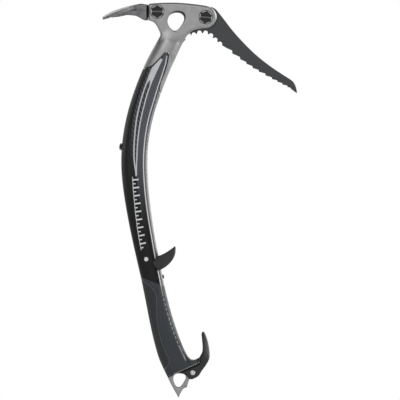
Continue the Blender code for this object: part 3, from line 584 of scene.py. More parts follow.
def oval(centre, front, half_depth, half_side, power, count):
    """Evenly spaced points on a rounded oval, its long way along front and its short way along Y."""
    turn = math.tau * np.arange(720) / 720
    along, side = (np.sign(way) * np.abs(way) ** (2 / power) * half
                   for way, half in ((np.cos(turn), half_depth), (np.sin(turn), half_side)))
    ring = np.column_stack([centre[0] + front[0] * along, side, centre[1] + front[1] * along])
    closed = np.concatenate([ring, ring[:1]])
    run = np.concatenate([[0], np.cumsum(np.linalg.norm(np.diff(closed, axis=0), axis=1))])
    at = np.arange(count) / count * run[-1]
    return np.column_stack([np.interp(at, run, closed[:, k]) for k in range(3)])


def shaft_rings(top, bottom, inset, step, count):
    rings = []
    for z in np.linspace(top, bottom, max(2, round((top - bottom) / step) + 1)):
        front = np.array((1, -slope(z))) / np.hypot(1, slope(z))
        rings.append(oval((centre_x(z), z), front, depth(z) / 2 - inset, half_width(z) - inset,
                          OVAL_POWER, count))
    return rings


def line_region(line, near, far):
    """A long four-sided region between two distances above a line, or below it where they are negative."""
    a, b = np.array(line, dtype=float)
    run = (b - a) / np.linalg.norm(b - a)
    up = np.array((-run[1], run[0]))
    a, b = a - run * 40, b + run * 40
    return [a + up * near, b + up * near, b + up * far, a + up * far]


def shifted(path, distance):
    """An open path moved sideways, to the right of its direction."""
    run = np.gradient(path, axis=0)
    run /= np.linalg.norm(run, axis=1)[:, None]
    return path + np.column_stack([run[:, 1], -run[:, 0]]) * distance


def shaft():
    """The tube: its full section where it is bare, stepped down under the head's sleeve and the grip."""
    made = loft("Shaft", shaft_rings(SHAFT_TOP, SHAFT_END, SHAFT_INSET, 6, 64))
    skin = loft("shaft_skin", shaft_rings(SKIN_TOP, SKIN_END, 0.0, 1.6, 112))
    edge = shifted(smooth_line(SLEEVE_EDGE, 4), SLEEVE_GAP)
    above = np.concatenate([[(-80, SLEEVE_EDGE[0][1] - SLEEVE_GAP)], edge,
                            [(20, edge[-1][1]), (20, 20), (-80, 20)]])
    settled(skin, ('DIFFERENCE', prism("above", above)),
            ('DIFFERENCE', prism("below", line_region(GRIP_TOP_LINE, 0, -60))))
    return settled(made, ('UNION', skin))


def grip_rings(inset=0.0, count=112):
    """The grip's rings, squarer towards the bottom, where it carries the pommel's root."""
    rear = smooth_line([s[0] for s in GRIP_STATIONS], 10)
    front = smooth_line([s[1] for s in GRIP_STATIONS], 10)
    side = np.interp(np.arange(len(rear)) / 10, range(len(GRIP_STATIONS)), [s[2] for s in GRIP_STATIONS])
    rings = []
    for a, b, half in zip(rear, front, side):
        centre, run = (a + b) / 2, b - a
        power = OVAL_POWER + SQUARE_POWER * min(max((-centre[1] - SQUARE_FROM) / SQUARE_OVER, 0), 1)
        length = np.linalg.norm(run)
        rings.append(oval(centre, run / length, length / 2 - inset, half - inset, power, count))
    return rings


def panel_outline(grown=0.0):
    edge = shifted(smooth_line(PANEL_EDGE, 5), -grown)
    return np.concatenate([[(-80, PANEL_EDGE[0][1] + grown)], edge, [(-80, PANEL_EDGE[-1][1] - grown)]])


def strip_outline(grown=0.0):
    edge = shifted(smooth_line(STRIP_EDGE, 5), grown)
    return np.concatenate([edge, [(40, STRIP_EDGE[-1][1] - grown), (40, STRIP_EDGE[0][1] + grown)]])


def eased(rings, outline, radius=RIM_ROUNDING, sign=1):
    """Rings sunk towards the rim of an outline, inside it (sign 1) or outside it (sign -1)."""
    moved = []
    for ring in rings:
        near = np.clip(radius + sign * from_outline(ring[:, 0], ring[:, 2], outline), 0, radius)
        sink = (radius - np.sqrt(radius ** 2 - near ** 2)) * np.clip(np.abs(ring[:, 1]) / EASE_OVER, 0, 1)
        middle = ring.mean(axis=0)
        out = ring - middle
        out /= np.linalg.norm(out, axis=1)[:, None]
        moved.append(ring - out * sink[:, None])
    return moved


def above_grip():
    return prism("top", line_region(GRIP_TOP_LINE, -TOP_GAP, 60))


def grip():
    """The hard rubber sleeve, with pockets for the softer panel and strip."""
    rings = eased(grip_rings(), panel_outline(), POCKET_ROUNDING, -1)
    made = loft("Grip", eased(rings, strip_outline(), POCKET_ROUNDING, -1))
    settled(made, ('DIFFERENCE', prism("pocket_rear", panel_outline(POCKET_GAP))),
            ('DIFFERENCE', prism("pocket_front", strip_outline(POCKET_GAP))),
            ('UNION', loft("grip_core", grip_rings(INSERT_DEPTH + 0.3, 96))))
    return settled(made, ('DIFFERENCE', above_grip()),
                   ('DIFFERENCE', prism("bottom", line_region(FLANGE_LINE, FLANGE_GAP, -60))),
                   ('DIFFERENCE', loft("bore", shaft_rings(-290, -455, SHAFT_INSET - BORE_GAP, 6, 64))))


def grip_insert(name, outline):
    """A softer piece let into the grip, its rim rounded over."""
    made = loft(name, eased(grip_rings(), outline))
    return settled(made, ('INTERSECT', prism("outline", outline)),
                   ('DIFFERENCE', loft("inside", grip_rings(INSERT_DEPTH, 96))),
                   ('DIFFERENCE', above_grip()))


# Spike, pommel and trigger

SPIKE_HALF, SPIKE_BEVEL = 3.0, 1.1
FLANGE_THICKNESS, FLANGE_HALF_WIDTH = 1.2, 13.1
STEM_TOP, STEM_INSET = -384.0, 4.4
POMMEL_SECTION_Y = -4.5
POMMEL_TAPER = (-424.6, -391.7, 9.0, 5.5)  # from and to this height, with these half widths
POMMEL_ROUNDING, POMMEL_GROWTH = 3.6, 0.25
POMMEL_SCREW, POMMEL_BORE_RADIUS = (21.6, -443.9), 2.8
POMMEL_SEAT, POMMEL_SINK_RADIUS = 6.5, 3.7
POMMEL_NUT_SEAT, POMMEL_NUT_HALF_FLATS = 6.0, 4.3
TRIGGER_TAPER = (-17.0, -0.8, 12.8, 7.0)
TRIGGER_SECTIONS_Y = (-4.5, -7.5, -9.5, -11.0, -12.0, -12.4)
TRIGGER_SEAT, TRIGGER_SINK_RADIUS, TRIGGER_ROUNDING = 6.0, 3.9, 2.4
SCREW_CLEARANCE = 2.3
TRIGGER_SCREW_Z, PLUG_Z, STUD_Z = -309.0, -325.3, -159.6


def spike_plate(x, y, z, below):
    """The plate with the clip hole and the point, bevelled below the flange."""
    outer, *holes = section("spike", SPIKE_HALF - 0.1)
    flat = from_outline(x, z, outer)
    for loop in holes:
        flat = carve(flat, from_outline(x, z, loop), 0.5)
    plate = rounded(np.maximum(flat, below - 0.3), np.abs(y) - SPIKE_HALF, 0.3)
    bevel = (np.abs(y) - SPIKE_HALF + SPIKE_BEVEL + flat) / math.sqrt(2)
    return np.maximum(plate, np.where(below < -FLANGE_THICKNESS - 1.5, bevel, -9.0))


def spike_field(x, y, z):
    """The plate, the flange under the grip, and the stem inside the shaft."""
    below = beside(FLANGE_LINE, x, z)
    run = np.array(FLANGE_LINE[1]) - np.array(FLANGE_LINE[0])
    run /= np.linalg.norm(run)
    centre = np.array(FLANGE_LINE).mean(axis=0)
    across = (x - centre[0]) * run[0] + (z - centre[1]) * run[1]
    half_length = np.linalg.norm(np.subtract(*FLANGE_LINE)) / 2
    disc = from_oval(across, y, half_length, FLANGE_HALF_WIDTH, OVAL_POWER + SQUARE_POWER)
    flange = rounded(disc, np.abs(below + FLANGE_THICKNESS / 2) - FLANGE_THICKNESS / 2, 0.35)
    at, u = station(x, z)
    stem = from_oval(u, y, depth(at) / 2 - STEM_INSET, half_width(at) - STEM_INSET)
    stem = np.maximum(stem, np.maximum(z - STEM_TOP, -below - 0.5))
    return np.minimum(np.minimum(spike_plate(x, y, z, below), flange), stem)


def pommel_field(x, y, z):
    """A hook for the little finger, forked over the spike's plate."""
    flat = from_outline(x, z, section("pommel", POMMEL_SECTION_Y)[0])
    shape = rounded(flat - POMMEL_GROWTH, np.abs(y) - tapered(z, *POMMEL_TAPER), POMMEL_ROUNDING)
    slot = np.maximum(-from_outline(x, z, section("pommel", 0.0)[0]), flat - 3)
    shape = carve(shape, np.maximum(slot, np.abs(y) - SPIKE_HALF - 0.3), 0.4)
    a, b = x - POMMEL_SCREW[0], z - POMMEL_SCREW[1]
    radius = np.hypot(a, b)
    shape = carve(shape, radius - POMMEL_BORE_RADIUS, 0.3)
    shape = carve(shape, np.maximum(radius - POMMEL_SINK_RADIUS, y + POMMEL_SEAT), 0.6)
    return carve(shape, np.maximum(from_hexagon(a, b, POMMEL_NUT_HALF_FLATS), POMMEL_NUT_SEAT - y), 0.6)


def front_axis(z, side=1):
    """The point on the shaft's front (side 1) or rear (side -1) at station z, and the way out of it."""
    out = np.array((side, 0, -slope(z) * side)) / np.hypot(1, slope(z))
    return np.array((centre_x(z), 0, z)) + out * depth(z) / 2, out


def trigger_field(x, y, z):
    """A finger rest whose saddle wraps round the shaft's front."""
    slices = [section("trigger", at_y)[0] for at_y in TRIGGER_SECTIONS_Y]
    flat = np.minimum.reduce([from_outline(x, z, outline) for outline in slices])
    shape = rounded(flat, np.abs(y) - tapered(x, *TRIGGER_TAPER), TRIGGER_ROUNDING)
    at, u = station(x, z)
    shape = carve(shape, from_oval(u, y, depth(at) / 2 + 0.3, half_width(at) + 0.3), 0.4)
    base, out = front_axis(TRIGGER_SCREW_Z)
    height = (x - base[0]) * out[0] + (z - base[2]) * out[2]
    aside = (x - base[0]) * out[2] - (z - base[2]) * out[0]
    radius = np.hypot(aside, y)
    shape = carve(shape, radius - SCREW_CLEARANCE, 0.3)
    return carve(shape, np.maximum(radius - TRIGGER_SINK_RADIUS, TRIGGER_SEAT - height))


# Small turned pieces

BOLT_WASHER = [(4.3, 6.8), (8.0, 6.8), (8.2, 7.0), (8.2, 7.4), (8.0, 7.6), (4.3, 7.6)]
PROFILES = {  # radius and height along each piece's axis, and a number of sides where it isn't round
    "adze_bolt_washer": BOLT_WASHER,
    "pick_bolt_washer": BOLT_WASHER,
    "pommel_screw_washer": [(2.8, 6.8), (3.3, 6.8), (3.4, 6.9), (3.4, 7.4), (2.8, 7.4)],
    "pommel_screw": [(1.2, -9.1, 6), (1.2, -9.6, 6), (1.35, -9.7), (2.4, -9.7), (2.75, -9.55), (3.0, -9.25),
                     (3.1, -8.9), (3.1, -7.9), (3.0, -7.7), (2.5, -7.7), (2.5, 8.8), (2.1, 9.2)],
    "trigger_screw_washer": [(2.3, 6.3), (3.5, 6.3), (3.6, 6.4), (3.6, 7.0), (3.5, 7.1), (2.3, 7.1)],
    "trigger_screw": [(2.0, -5.8), (2.0, 7.4), (3.3, 7.4), (3.4, 7.5), (3.4, 10.5), (3.25, 10.8),
                      (2.9, 10.9), (1.7, 10.9), (1.5, 10.7, 6), (1.5, 9.0, 6)],
    "trigger_plug": [(1.9, -4.0), (1.9, 0.3), (2.6, 0.3), (2.7, 0.4), (2.7, 0.8), (2.5, 1.1), (2.1, 1.4),
                     (1.5, 1.55), (0.8, 1.6)],
    "leash_stud_washer": [(2.3, -0.3), (4.1, -0.3), (4.3, 0.0), (4.3, 0.7), (4.1, 0.95), (2.3, 0.95)],
    "leash_stud": [(2.0, -5.8), (2.0, 1.1), (4.35, 1.1), (4.5, 1.25), (4.3, 1.75), (3.9, 2.2), (3.3, 2.6),
                   (2.4, 2.9), (1.35, 3.1), (1.2, 2.95, 6), (1.2, 2.0, 6)]}


def seat(node):
    """The point that a turned piece's profile is measured from, and the way its axis runs."""
    if node.startswith("trigger_plug"):
        return front_axis(PLUG_Z)
    if node.startswith("trigger"):
        return front_axis(TRIGGER_SCREW_Z)
    if node.startswith("leash_stud"):
        return front_axis(STUD_Z, -1)
    x, z = {**HEAD_BOLTS, "pommel": POMMEL_SCREW}[node.split("_")[0]]
    return np.array((x, 0, z)), (0, -1 if node.endswith("washer") else 1, 0)


def turned_pieces():
    """The turned pieces, by the CAD node that each stands for."""
    return {node: turned(piece_name(node), profile, *seat(node), 64 if profile is BOLT_WASHER else 48,
                         node.endswith("washer"))
            for node, profile in PROFILES.items()}


# Materials

class Nodes:
    """Adds nodes to a node tree."""

    def __init__(self, tree):
        self.tree = tree

    def add(self, kind, output, inputs, **settings):
        """A new node's output. Each input is a constant, or another node's output to link from."""
        node = self.tree.nodes.new("ShaderNode" + kind)
        for name, value in settings.items():
            setattr(node, name, value)
        for key, value in inputs.items():
            if isinstance(value, bpy.types.NodeSocket):
                self.tree.links.new(value, node.inputs[key])
            else:
                node.inputs[key].default_value = value
        return None if output is None else node.outputs[output]

    def math(self, operation, a, b=0.0, c=0.0):
        return self.add("Math", 0, {0: a, 1: b, 2: c}, operation=operation)

    def times(self, product, *values):
        for value in values:
            product = self.math('MULTIPLY', product, value)
        return product

    def most(self, largest, *values):
        for value in values:
            largest = self.math('MAXIMUM', largest, value)
        return largest

    def level(self, value, low, high, to_low=0.0, to_high=1.0):
        """value from low to high, taken to the range from to_low to to_high and no further."""
        inputs = {0: value, 1: low, 2: high, 3: to_low, 4: to_high}
        return self.add("MapRange", 0, inputs, interpolation_type='SMOOTHSTEP')

    def below(self, value, low, high):
        """1 below low, 0 above high."""
        return self.level(value, low, high, 1.0, 0.0)

    def within(self, value, low, high):
        """1 between low and high, 0 elsewhere."""
        return self.times(self.math('GREATER_THAN', value, low), self.math('LESS_THAN', value, high))


class Paint(Nodes):
    """One material's nodes, with positions in millimetres."""

    def __init__(self, name, metallic, roughness, **sockets):
        self.material = bpy.data.materials.new(name)
        self.material.use_nodes = True
        super().__init__(self.material.node_tree)
        self.shader = self.tree.nodes["Principled BSDF"]
        sockets.update(Metallic=metallic, Roughness=roughness)
        for socket, value in sockets.items():
            self.shader.inputs[socket.replace("_", " ")].default_value = value
        place = self.add("TexCoord", "Object", {})
        self.place = self.add("VectorMath", 0, {0: place, 1: (1 / MM,) * 3}, operation='MULTIPLY')

    def noise(self, size, detail=2.0, stretch=(1, 1, 1), where=None):
        """Noise from 0 to 1 whose features are about size millimetres across."""
        place = self.add("VectorMath", 0, {0: where or self.place, 1: stretch}, operation='MULTIPLY')
        return self.add("TexNoise", 0, {"Vector": place, "Scale": 1 / size, "Detail": detail})

    def pebbles(self, scale):
        """Distance from the middle of each pebble of a rubber skin."""
        return self.add("TexVoronoi", "Distance", {"Vector": self.place, "Scale": scale})

    def mix(self, share, a, b):
        """From colour a to colour b as share goes from 0 to 1."""
        inputs = {0: share, 6: a if isinstance(a, bpy.types.NodeSocket) else (*a, 1),
                  7: b if isinstance(b, bpy.types.NodeSocket) else (*b, 1)}
        return self.add("Mix", 2, inputs, data_type='RGBA')

    def choose(self, share, a, b):
        """From number a to number b as share goes from 0 to 1."""
        return self.add("Mix", 0, {0: share, 2: a, 3: b})

    def vary(self, noise, a, b):
        """From a to b, both colours or both numbers, over the range that noise mostly covers."""
        if isinstance(a, tuple):
            return self.mix(self.level(noise, 0.3, 0.7), a, b)
        return self.level(noise, 0.3, 0.7, a, b)

    def edges(self, low, high):
        """1 on the piece's sharp edges, 0 on its flats."""
        return self.level(self.add("NewGeometry", "Pointiness", {}), low, high)

    def attribute(self, name):
        return self.add("Attribute", "Vector", {}, attribute_name=name)

    def parts(self, vector):
        return list(self.add("SeparateXYZ", 0, {0: vector}).node.outputs)

    def share(self, name):
        """A vertex attribute from 0 to 1, and 0 on a piece that hasn't got it."""
        return self.parts(self.attribute(name))[0]

    def link(self, value, socket):
        self.tree.links.new(value, self.shader.inputs[socket])

    def finish(self, colour, roughness, height, distance, strength):
        """The material, with its colour, roughness and bump linked in."""
        self.link(colour, "Base Color")
        self.link(roughness, "Roughness")
        inputs = {"Height": height, "Distance": distance * MM, "Strength": strength}
        self.link(self.add("Bump", 0, inputs), "Normal")
        return self.material


def cast_steel():
    """Bead-blasted steel: fine grain, faint cloudiness, rubbed edges, and painted shade in the hole and
    under the flange.
    """
    paint = Paint("CastSteel", 1.0, 0.36)
    clouds, grain, painted_shade = paint.noise(9.0, 3.0), paint.noise(0.35, 2.0), paint.share("painted_shade")
    colour = paint.vary(clouds, (0.30, 0.30, 0.303), (0.355, 0.355, 0.355))
    colour = paint.mix(paint.edges(0.53, 0.66), colour, (0.54, 0.54, 0.53))
    # painted shade: dark, rough and not metallic inside the carabiner hole and under the spike's flange
    colour = paint.mix(painted_shade, colour, (0.035, 0.035, 0.037))
    rough = paint.math('ADD', paint.vary(clouds, 0.31, 0.40), paint.vary(grain, -0.03, 0.03))
    paint.link(paint.math('SUBTRACT', 1.0, painted_shade), "Metallic")
    return paint.finish(colour, paint.most(rough, paint.times(painted_shade, 0.95)), grain, 0.05, 0.5)


def pick_steel():
    """Hardened steel with a dark finish, worn through along its edges."""
    paint = Paint("PickSteel", 0.85, 0.5)
    grain = paint.noise(0.5, 3.0)
    wear = paint.times(paint.edges(0.52, 0.62), paint.level(paint.noise(3.0, 4.0), 0.35, 0.65, 0.3, 1.0))
    colour = paint.vary(grain, (0.06, 0.062, 0.066), (0.08, 0.082, 0.086))
    colour = paint.mix(wear, colour, (0.30, 0.30, 0.30))
    return paint.finish(colour, paint.vary(grain, 0.42, 0.56), grain, 0.06, 0.5)


def adze_steel():
    """Forged steel: a dark grey skin, lighter where it is ground and along its edges, with painted shade on
    its root and tang.
    """
    paint = Paint("AdzeSteel", 0.95, 0.42)
    grain, scale = paint.noise(0.6, 3.0), paint.noise(5.0, 4.0)
    colour = paint.vary(scale, (0.15, 0.15, 0.155), (0.23, 0.23, 0.235))
    colour = paint.mix(paint.edges(0.52, 0.62), colour, (0.5, 0.5, 0.5))
    # painted shade on the adze's root and tang, in the gap and slot of the head
    colour = paint.mix(paint.share("painted_shade"), colour, (0.02, 0.02, 0.02))
    return paint.finish(colour, paint.vary(grain, 0.36, 0.5), paint.math('ADD', grain, scale), 0.08, 0.5)


def black_steel():
    """Black oxide, rubbed to bare steel along its edges, with a painted highlight on a bolt's slot floor and
    painted shade in its corners.
    """
    paint = Paint("BlackOxide", 0.8, 0.38)
    grain = paint.noise(0.4, 3.0)
    colour = paint.vary(grain, (0.020, 0.020, 0.022), (0.036, 0.036, 0.038))
    # painted highlight on the floor of a bolt's slot
    colour = paint.mix(paint.share("worn"), colour, (0.11, 0.11, 0.113))
    colour = paint.mix(paint.edges(0.54, 0.66), colour, (0.06, 0.06, 0.06))
    # painted shade in the corners of a bolt's slot
    colour = paint.mix(paint.share("painted_shade"), colour, (0.006, 0.006, 0.006))
    return paint.finish(colour, paint.vary(grain, 0.3, 0.45), grain, 0.03, 0.5)


def bright_steel():
    """Zinc-plated steel with fine turning marks, paler with painted highlight on the washers and pommel
    screw, and painted shade in the socket.
    """
    paint = Paint("ZincPlate", 1.0, 0.28)
    marks = paint.noise(0.3, 2.0, (1.0, 6.0, 1.0))
    colour = paint.vary(marks, (0.25, 0.25, 0.255), (0.32, 0.32, 0.32))
    # painted highlight: paler washers and pommel screw
    colour = paint.mix(paint.share("worn"), colour, (0.80, 0.80, 0.80))
    # painted shade round the pommel screw's socket
    colour = paint.mix(paint.share("painted_shade"), colour, (0.05, 0.05, 0.05))
    return paint.finish(colour, paint.vary(marks, 0.2, 0.36), marks, 0.02, 0.4)


def nylon():
    """Moulded glass-filled nylon with a fine spark texture, and a paler painted highlight up the pommel
    hook's outer side.
    """
    paint = Paint("Nylon", 0.0, 0.5, Specular_IOR_Level=0.4)
    grain = paint.noise(0.45, 3.0)
    colour = paint.vary(grain, (0.014, 0.014, 0.0145), (0.024, 0.024, 0.025))
    # painted highlight up the pommel hook's outer side
    colour = paint.mix(paint.share("worn"), colour, (0.11, 0.11, 0.112))
    return paint.finish(colour, paint.vary(grain, 0.42, 0.62), grain, 0.08, 0.6)


def grip_rubber():
    """Blue-grey rubber with a fine pebbled skin, and a painted highlight dashed down the ridge by the front
    strip.
    """
    paint = Paint("GripRubber", 0.0, 0.6)
    pebble, clouds = paint.pebbles(1.1), paint.noise(14.0, 2.0)
    colour = paint.vary(clouds, (0.024, 0.031, 0.040), (0.037, 0.045, 0.056))
    colour = paint.mix(paint.level(pebble, 0.1, 0.5), colour, (0.022, 0.027, 0.034))
    # painted highlight: silvery dashes down the ridge by the front strip
    colour = paint.mix(painted_ridge_highlight(paint), colour, (0.30, 0.31, 0.32))
    return paint.finish(colour, paint.vary(clouds, 0.52, 0.64), pebble, -0.12, 0.5)


def painted_ridge_highlight(paint):
    """A painted highlight in silvery dashes down the ridge beside the front strip, which run together into
    one line.
    """
    along, beside_ridge, _ = paint.parts(paint.attribute("ridge"))
    whole = paint.most(paint.below(along, -420.0, -411.0), paint.level(along, -352.0, -344.0))
    half = paint.math('ADD', paint.level(whole, 0.0, 1.0, 1.3, 3.2), paint.noise(5.0, 1.0))
    dash = paint.math('LESS_THAN', paint.math('PINGPONG', along, 3.1), half)
    line = paint.below(paint.math('ABSOLUTE', beside_ridge), 0.5, 0.9)
    return paint.times(dash, line, paint.times(paint.level(along, -436.0, -432.0),
                                               paint.below(along, -334.5, -333.0)))


def soft_rubber():
    """Softer black rubber with a finer pebbled skin, paler with a painted highlight round the rear panel's
    rim and over the front strip.
    """
    paint = Paint("SoftRubber", 0.0, 0.72, Sheen_Weight=0.06, Sheen_Roughness=0.5)
    dust = paint.noise(6.0, 4.0)
    colour = paint.vary(dust, (0.016, 0.0175, 0.019), (0.025, 0.027, 0.029))
    # painted highlight round the rear panel's rim and over the front strip
    colour = paint.mix(paint.share("worn"), colour, (0.15, 0.155, 0.16))
    return paint.finish(colour, paint.vary(dust, 0.62, 0.8), paint.pebbles(1.6), -0.1, 0.6)


TOW = 1.4  # width of the carbon cloth's tows
LINE_HALF = (0.8, 0.72, 0.65)  # half widths of the printed lines
BLUR = 0.2  # half the width over which a printed edge fades
SCALE_FROM, SCALE_TO, DOT_AT, DOT_RADIUS = -288.0, -196.0, -300.0, 2.6
RAIL_AT, RAIL_HALF = -4.0, 0.35


def carbon():
    """Clear-coated carbon twill, with printed silver lines, a grey panel, a graduated scale, and painted
    reflections down its rims.
    """
    paint = Paint("CarbonTwill", 0.0, 0.38, Coat_Weight=0.35, Coat_Roughness=0.08, Specular_IOR_Level=0.05)
    skin = paint.attribute("skin")
    along, around, beside_scale = paint.parts(skin)
    lines = paint.parts(paint.attribute("stripes"))
    over, strands, crown = twill(paint, skin, along, around)
    between = paint.times(paint.level(lines[0], -BLUR, BLUR), paint.below(lines[1], -BLUR, BLUR),
                          paint.level(along, -192.0, -189.0))
    colour = cloth(paint, over, strands, along, around, lines, between)
    silver = paint.vary(paint.noise(0.3, 2.0), (0.50, 0.51, 0.53), (0.64, 0.65, 0.67))
    colour = paint.mix(printed_lines(paint, along, lines, between), colour, silver)
    colour = paint.mix(scale_marks(paint, along, beside_scale), colour, (0.72, 0.73, 0.74))
    height = paint.math('ADD', crown, paint.times(strands, 0.3))
    return paint.finish(colour, paint.vary(strands, 0.32, 0.5), height, 0.06, 0.4)


def twill(paint, skin, along, around):
    """Where tows along the shaft lie on top, the strands of the top tow, and how it bulges."""
    cells = [paint.math('FLOOR', paint.math('DIVIDE', part, TOW)) for part in (along, around)]
    over = paint.math('LESS_THAN', paint.math('WRAP', paint.math('ADD', *cells), 4.0, 0.0), 1.5)
    bulges = [paint.math('PINGPONG', part, TOW / 2) for part in (along, around)]
    weft, warp = (paint.noise(0.25, 1.0, stretch, skin) for stretch in ((1.0, 0.08, 1.0), (0.08, 1.0, 1.0)))
    return over, paint.choose(over, weft, warp), paint.choose(over, *bulges)


def cloth(paint, over, strands, along, around, lines, between):
    """The twill's colour, with the share of each zone and the colours of its lower and upper tows; two zones
    are painted reflections.
    """
    line_a, line_b, line_c = lines
    upper = paint.level(along, -240.0, -140.0)
    beside = paint.times(paint.level(line_a, -5.5, -3.0), paint.below(line_a, -BLUR, BLUR),
                         paint.level(along, -190.0, -120.0))
    colour = paint.mix(over, (0.004, 0.004, 0.0045), (0.007, 0.0072, 0.0078))
    for share, lower_tow, upper_tow in (
            (upper, (0.010, 0.010, 0.011), (0.015, 0.015, 0.016)),
            # painted reflection of the bright room down the upper shaft's rear rim
            (paint.times(paint.below(around, 9.0, 14.0), upper), (0.06, 0.061, 0.064), (0.09, 0.091, 0.095)),
            # painted reflection of the bright room down the shaft's front, forwards of line C
            (paint.level(line_c, 0.3, 4.2), (0.20, 0.203, 0.21), (0.34, 0.345, 0.355)),
            (between, (0.022, 0.023, 0.027), (0.10, 0.105, 0.118)),
            (beside, (0.035, 0.036, 0.040), (0.10, 0.103, 0.115))):
        colour = paint.mix(share, colour, paint.mix(over, lower_tow, upper_tow))
    colour = paint.mix(paint.level(strands, 0.35, 0.8, 0.0, 0.5), colour, (0.004, 0.004, 0.005))
    panel = paint.times(paint.level(line_b, -BLUR, BLUR), paint.below(line_c, -BLUR, BLUR),
                        paint.level(along, -275.0, -150.0))
    return paint.mix(panel, colour, paint.mix(strands, (0.062, 0.067, 0.078), (0.095, 0.10, 0.115)))


def printed_lines(paint, along, lines, between):
    """Silver lines down the shaft. Two of them run together into a wedge at the top."""
    line_a, line_b, line_c = (paint.below(paint.math('ABSOLUTE', distance), half - BLUR, half + BLUR)
                              for distance, half in zip(lines, LINE_HALF))
    apart = paint.math('ABSOLUTE', paint.math('ADD', lines[0], lines[1]))
    split = paint.math('ADD', along, paint.times(apart, 1.6))
    wedge = paint.times(between, paint.level(split, -76.0, -73.0))
    ends, top = paint.level(along, -197.0, -193.0), paint.below(along, -48.0, -46.5)
    printed = paint.most(line_c, paint.times(wedge, top), paint.times(line_a, ends, top),
                         paint.times(line_b, ends, top))
    return paint.times(printed, paint.below(along, -42.0, -40.5))


def scale_marks(paint, along, beside_scale):
    """A graduated scale down the shaft: ticks 5 mm apart, every other one long, and a dot below them."""
    every = paint.math('LESS_THAN', paint.math('PINGPONG', along, 2.5), 0.7)
    tenth = paint.math('LESS_THAN', paint.math('PINGPONG', along, 5.0), 0.9)
    inside = paint.within(beside_scale, RAIL_AT, paint.choose(tenth, -0.5, 3.6))
    ticks = paint.times(paint.most(every, tenth), inside)
    rail = paint.math('LESS_THAN', paint.math('ABSOLUTE', paint.math('SUBTRACT', beside_scale, RAIL_AT)),
                      RAIL_HALF)
    ticks = paint.times(paint.most(ticks, rail), paint.within(along, SCALE_FROM, SCALE_TO))
    apart = paint.math('SUBTRACT', along, DOT_AT)
    squares = paint.math('ADD', paint.times(apart, apart), paint.times(beside_scale, beside_scale))
    return paint.most(ticks, paint.math('LESS_THAN', paint.math('POWER', squares, 0.5), DOT_RADIUS))


MATERIALS = {"cast_steel": cast_steel, "blackened_steel": pick_steel, "grey_steel": adze_steel,
             "black_steel": black_steel, "bright_steel": bright_steel, "carbon_fibre": carbon,
             "black_nylon": nylon, "grip_rubber": grip_rubber, "soft_rubber": soft_rubber}


# Vertex attributes, which tell the materials where they are

# Printed lines on the shaft: station, and place across the shaft from -1 at its rear to 1 at its front.
LINES = [
    [(-46.7, -0.01), (-61.3, -0.35), (-69.8, -0.341), (-77.6, -0.316), (-90.6, -0.311), (-106.5, -0.27),
     (-122.9, -0.221), (-142.6, -0.126), (-160, -0.072), (-172.6, -0.037), (-190.3, 0.087)],
    [(-45.7, 0.059), (-59.4, 0.037), (-71.6, 0.025), (-76.1, 0.004), (-87.7, 0.012), (-104.7, 0.07),
     (-124.1, 0.11), (-141.8, 0.148), (-159.6, 0.175), (-172.4, 0.183), (-190.3, 0.132)],
    [(-38.2, 0.217), (-50.1, 0.461), (-64.8, 0.565), (-76.8, 0.595), (-89.3, 0.64), (-100.9, 0.667),
     (-115.5, 0.665), (-135.1, 0.677), (-156.3, 0.69), (-190.8, 0.685), (-239.9, 0.675), (-273.3, 0.7),
     (-300.9, 0.672), (-334.4, 0.674)]]
SCALE_LINE = [(-300.0, -0.15), (-282.1, -0.14), (-263.2, -0.11), (-225.7, 0.0), (-200.4, 0.05)]
SKIN_RADIUS = 14.3  # turns an angle round the shaft into a length round it
RIDGE_OFF, RIDGE_END = 0.5, [(14.0, -432.0), (60, -435), (60, -320)]
# Where the painted highlight up the pommel's hook begins, and how much painted highlight each listed piece
# gets all over
POMMEL_HIGHLIGHT_FROM = (34.5, -428.0)
PAINTED_HIGHLIGHTS = {"pommel_screw": 1.0, "adze_bolt_washer": 0.55, "pick_bolt_washer": 0.55, "grip_front_strip": 0.35}


def read_vertices(made, field):
    values = np.empty(len(made.data.vertices) * 3)
    made.data.vertices.foreach_get(field, values)
    return values.reshape(-1, 3).T


def positions(made):
    return read_vertices(made, "co") / MM


def vector_attribute(made, name, *values):
    attribute = made.data.attributes.new(name, 'FLOAT_VECTOR', 'POINT')
    attribute.data.foreach_set("vector", np.column_stack(values).astype(np.float32).ravel())


def mark(made, name, share):
    """A vertex attribute from 0 to 1."""
    vector_attribute(made, name, *[np.clip(share, 0, 1)] * 3)


def shaft_attributes(made):
    """Distances to the printed lines, and places along and around the shaft, in millimetres."""
    x, y, z = positions(made)
    at, u = station(x, z)
    half_depth = depth(at) / 2
    across = [u - np.interp(at, *np.array(sorted(knots)).T) * half_depth for knots in LINES + [SCALE_LINE]]
    around = np.arctan2(np.abs(y) / half_width(at), -u / half_depth) * SKIN_RADIUS
    vector_attribute(made, "stripes", *across[:3])
    vector_attribute(made, "skin", at, around, across[3])


def head_marks(head, adze):
    """Painted shade on the carabiner hole's wall, and on the adze's root and tang where they stand in the
    head's slot.
    """
    x, _, z = positions(head)
    facing = np.abs(read_vertices(head, "normal")[1])
    mark(head, "painted_shade", (np.hypot(x, z) < HOLE_REACH) * (1.7 - 2.0 * facing))
    mark(adze, "painted_shade", (positions(adze)[0] - ADZE_ROOT_X) / 0.3)


def bolt_marks(bolt, centre, slot_turn):
    """A painted highlight on the floor of a bolt's slot, and painted shade in its corners."""
    x, y, z = positions(bolt)
    off = np.abs(rotated(x - centre[0], z - centre[1], slot_turn)[1])
    deep, floor_y = y > BOLT_TOP + 0.4, BOLT_TOP + BOLT_SLOT_DEPTH
    mark(bolt, "worn", (off < BOLT_SLOT_HALF - 0.5) & deep)
    corner = (off > BOLT_SLOT_HALF - 0.5) & (off < BOLT_SLOT_HALF + 0.25)
    mark(bolt, "painted_shade", corner & deep & (y < floor_y + 0.3))


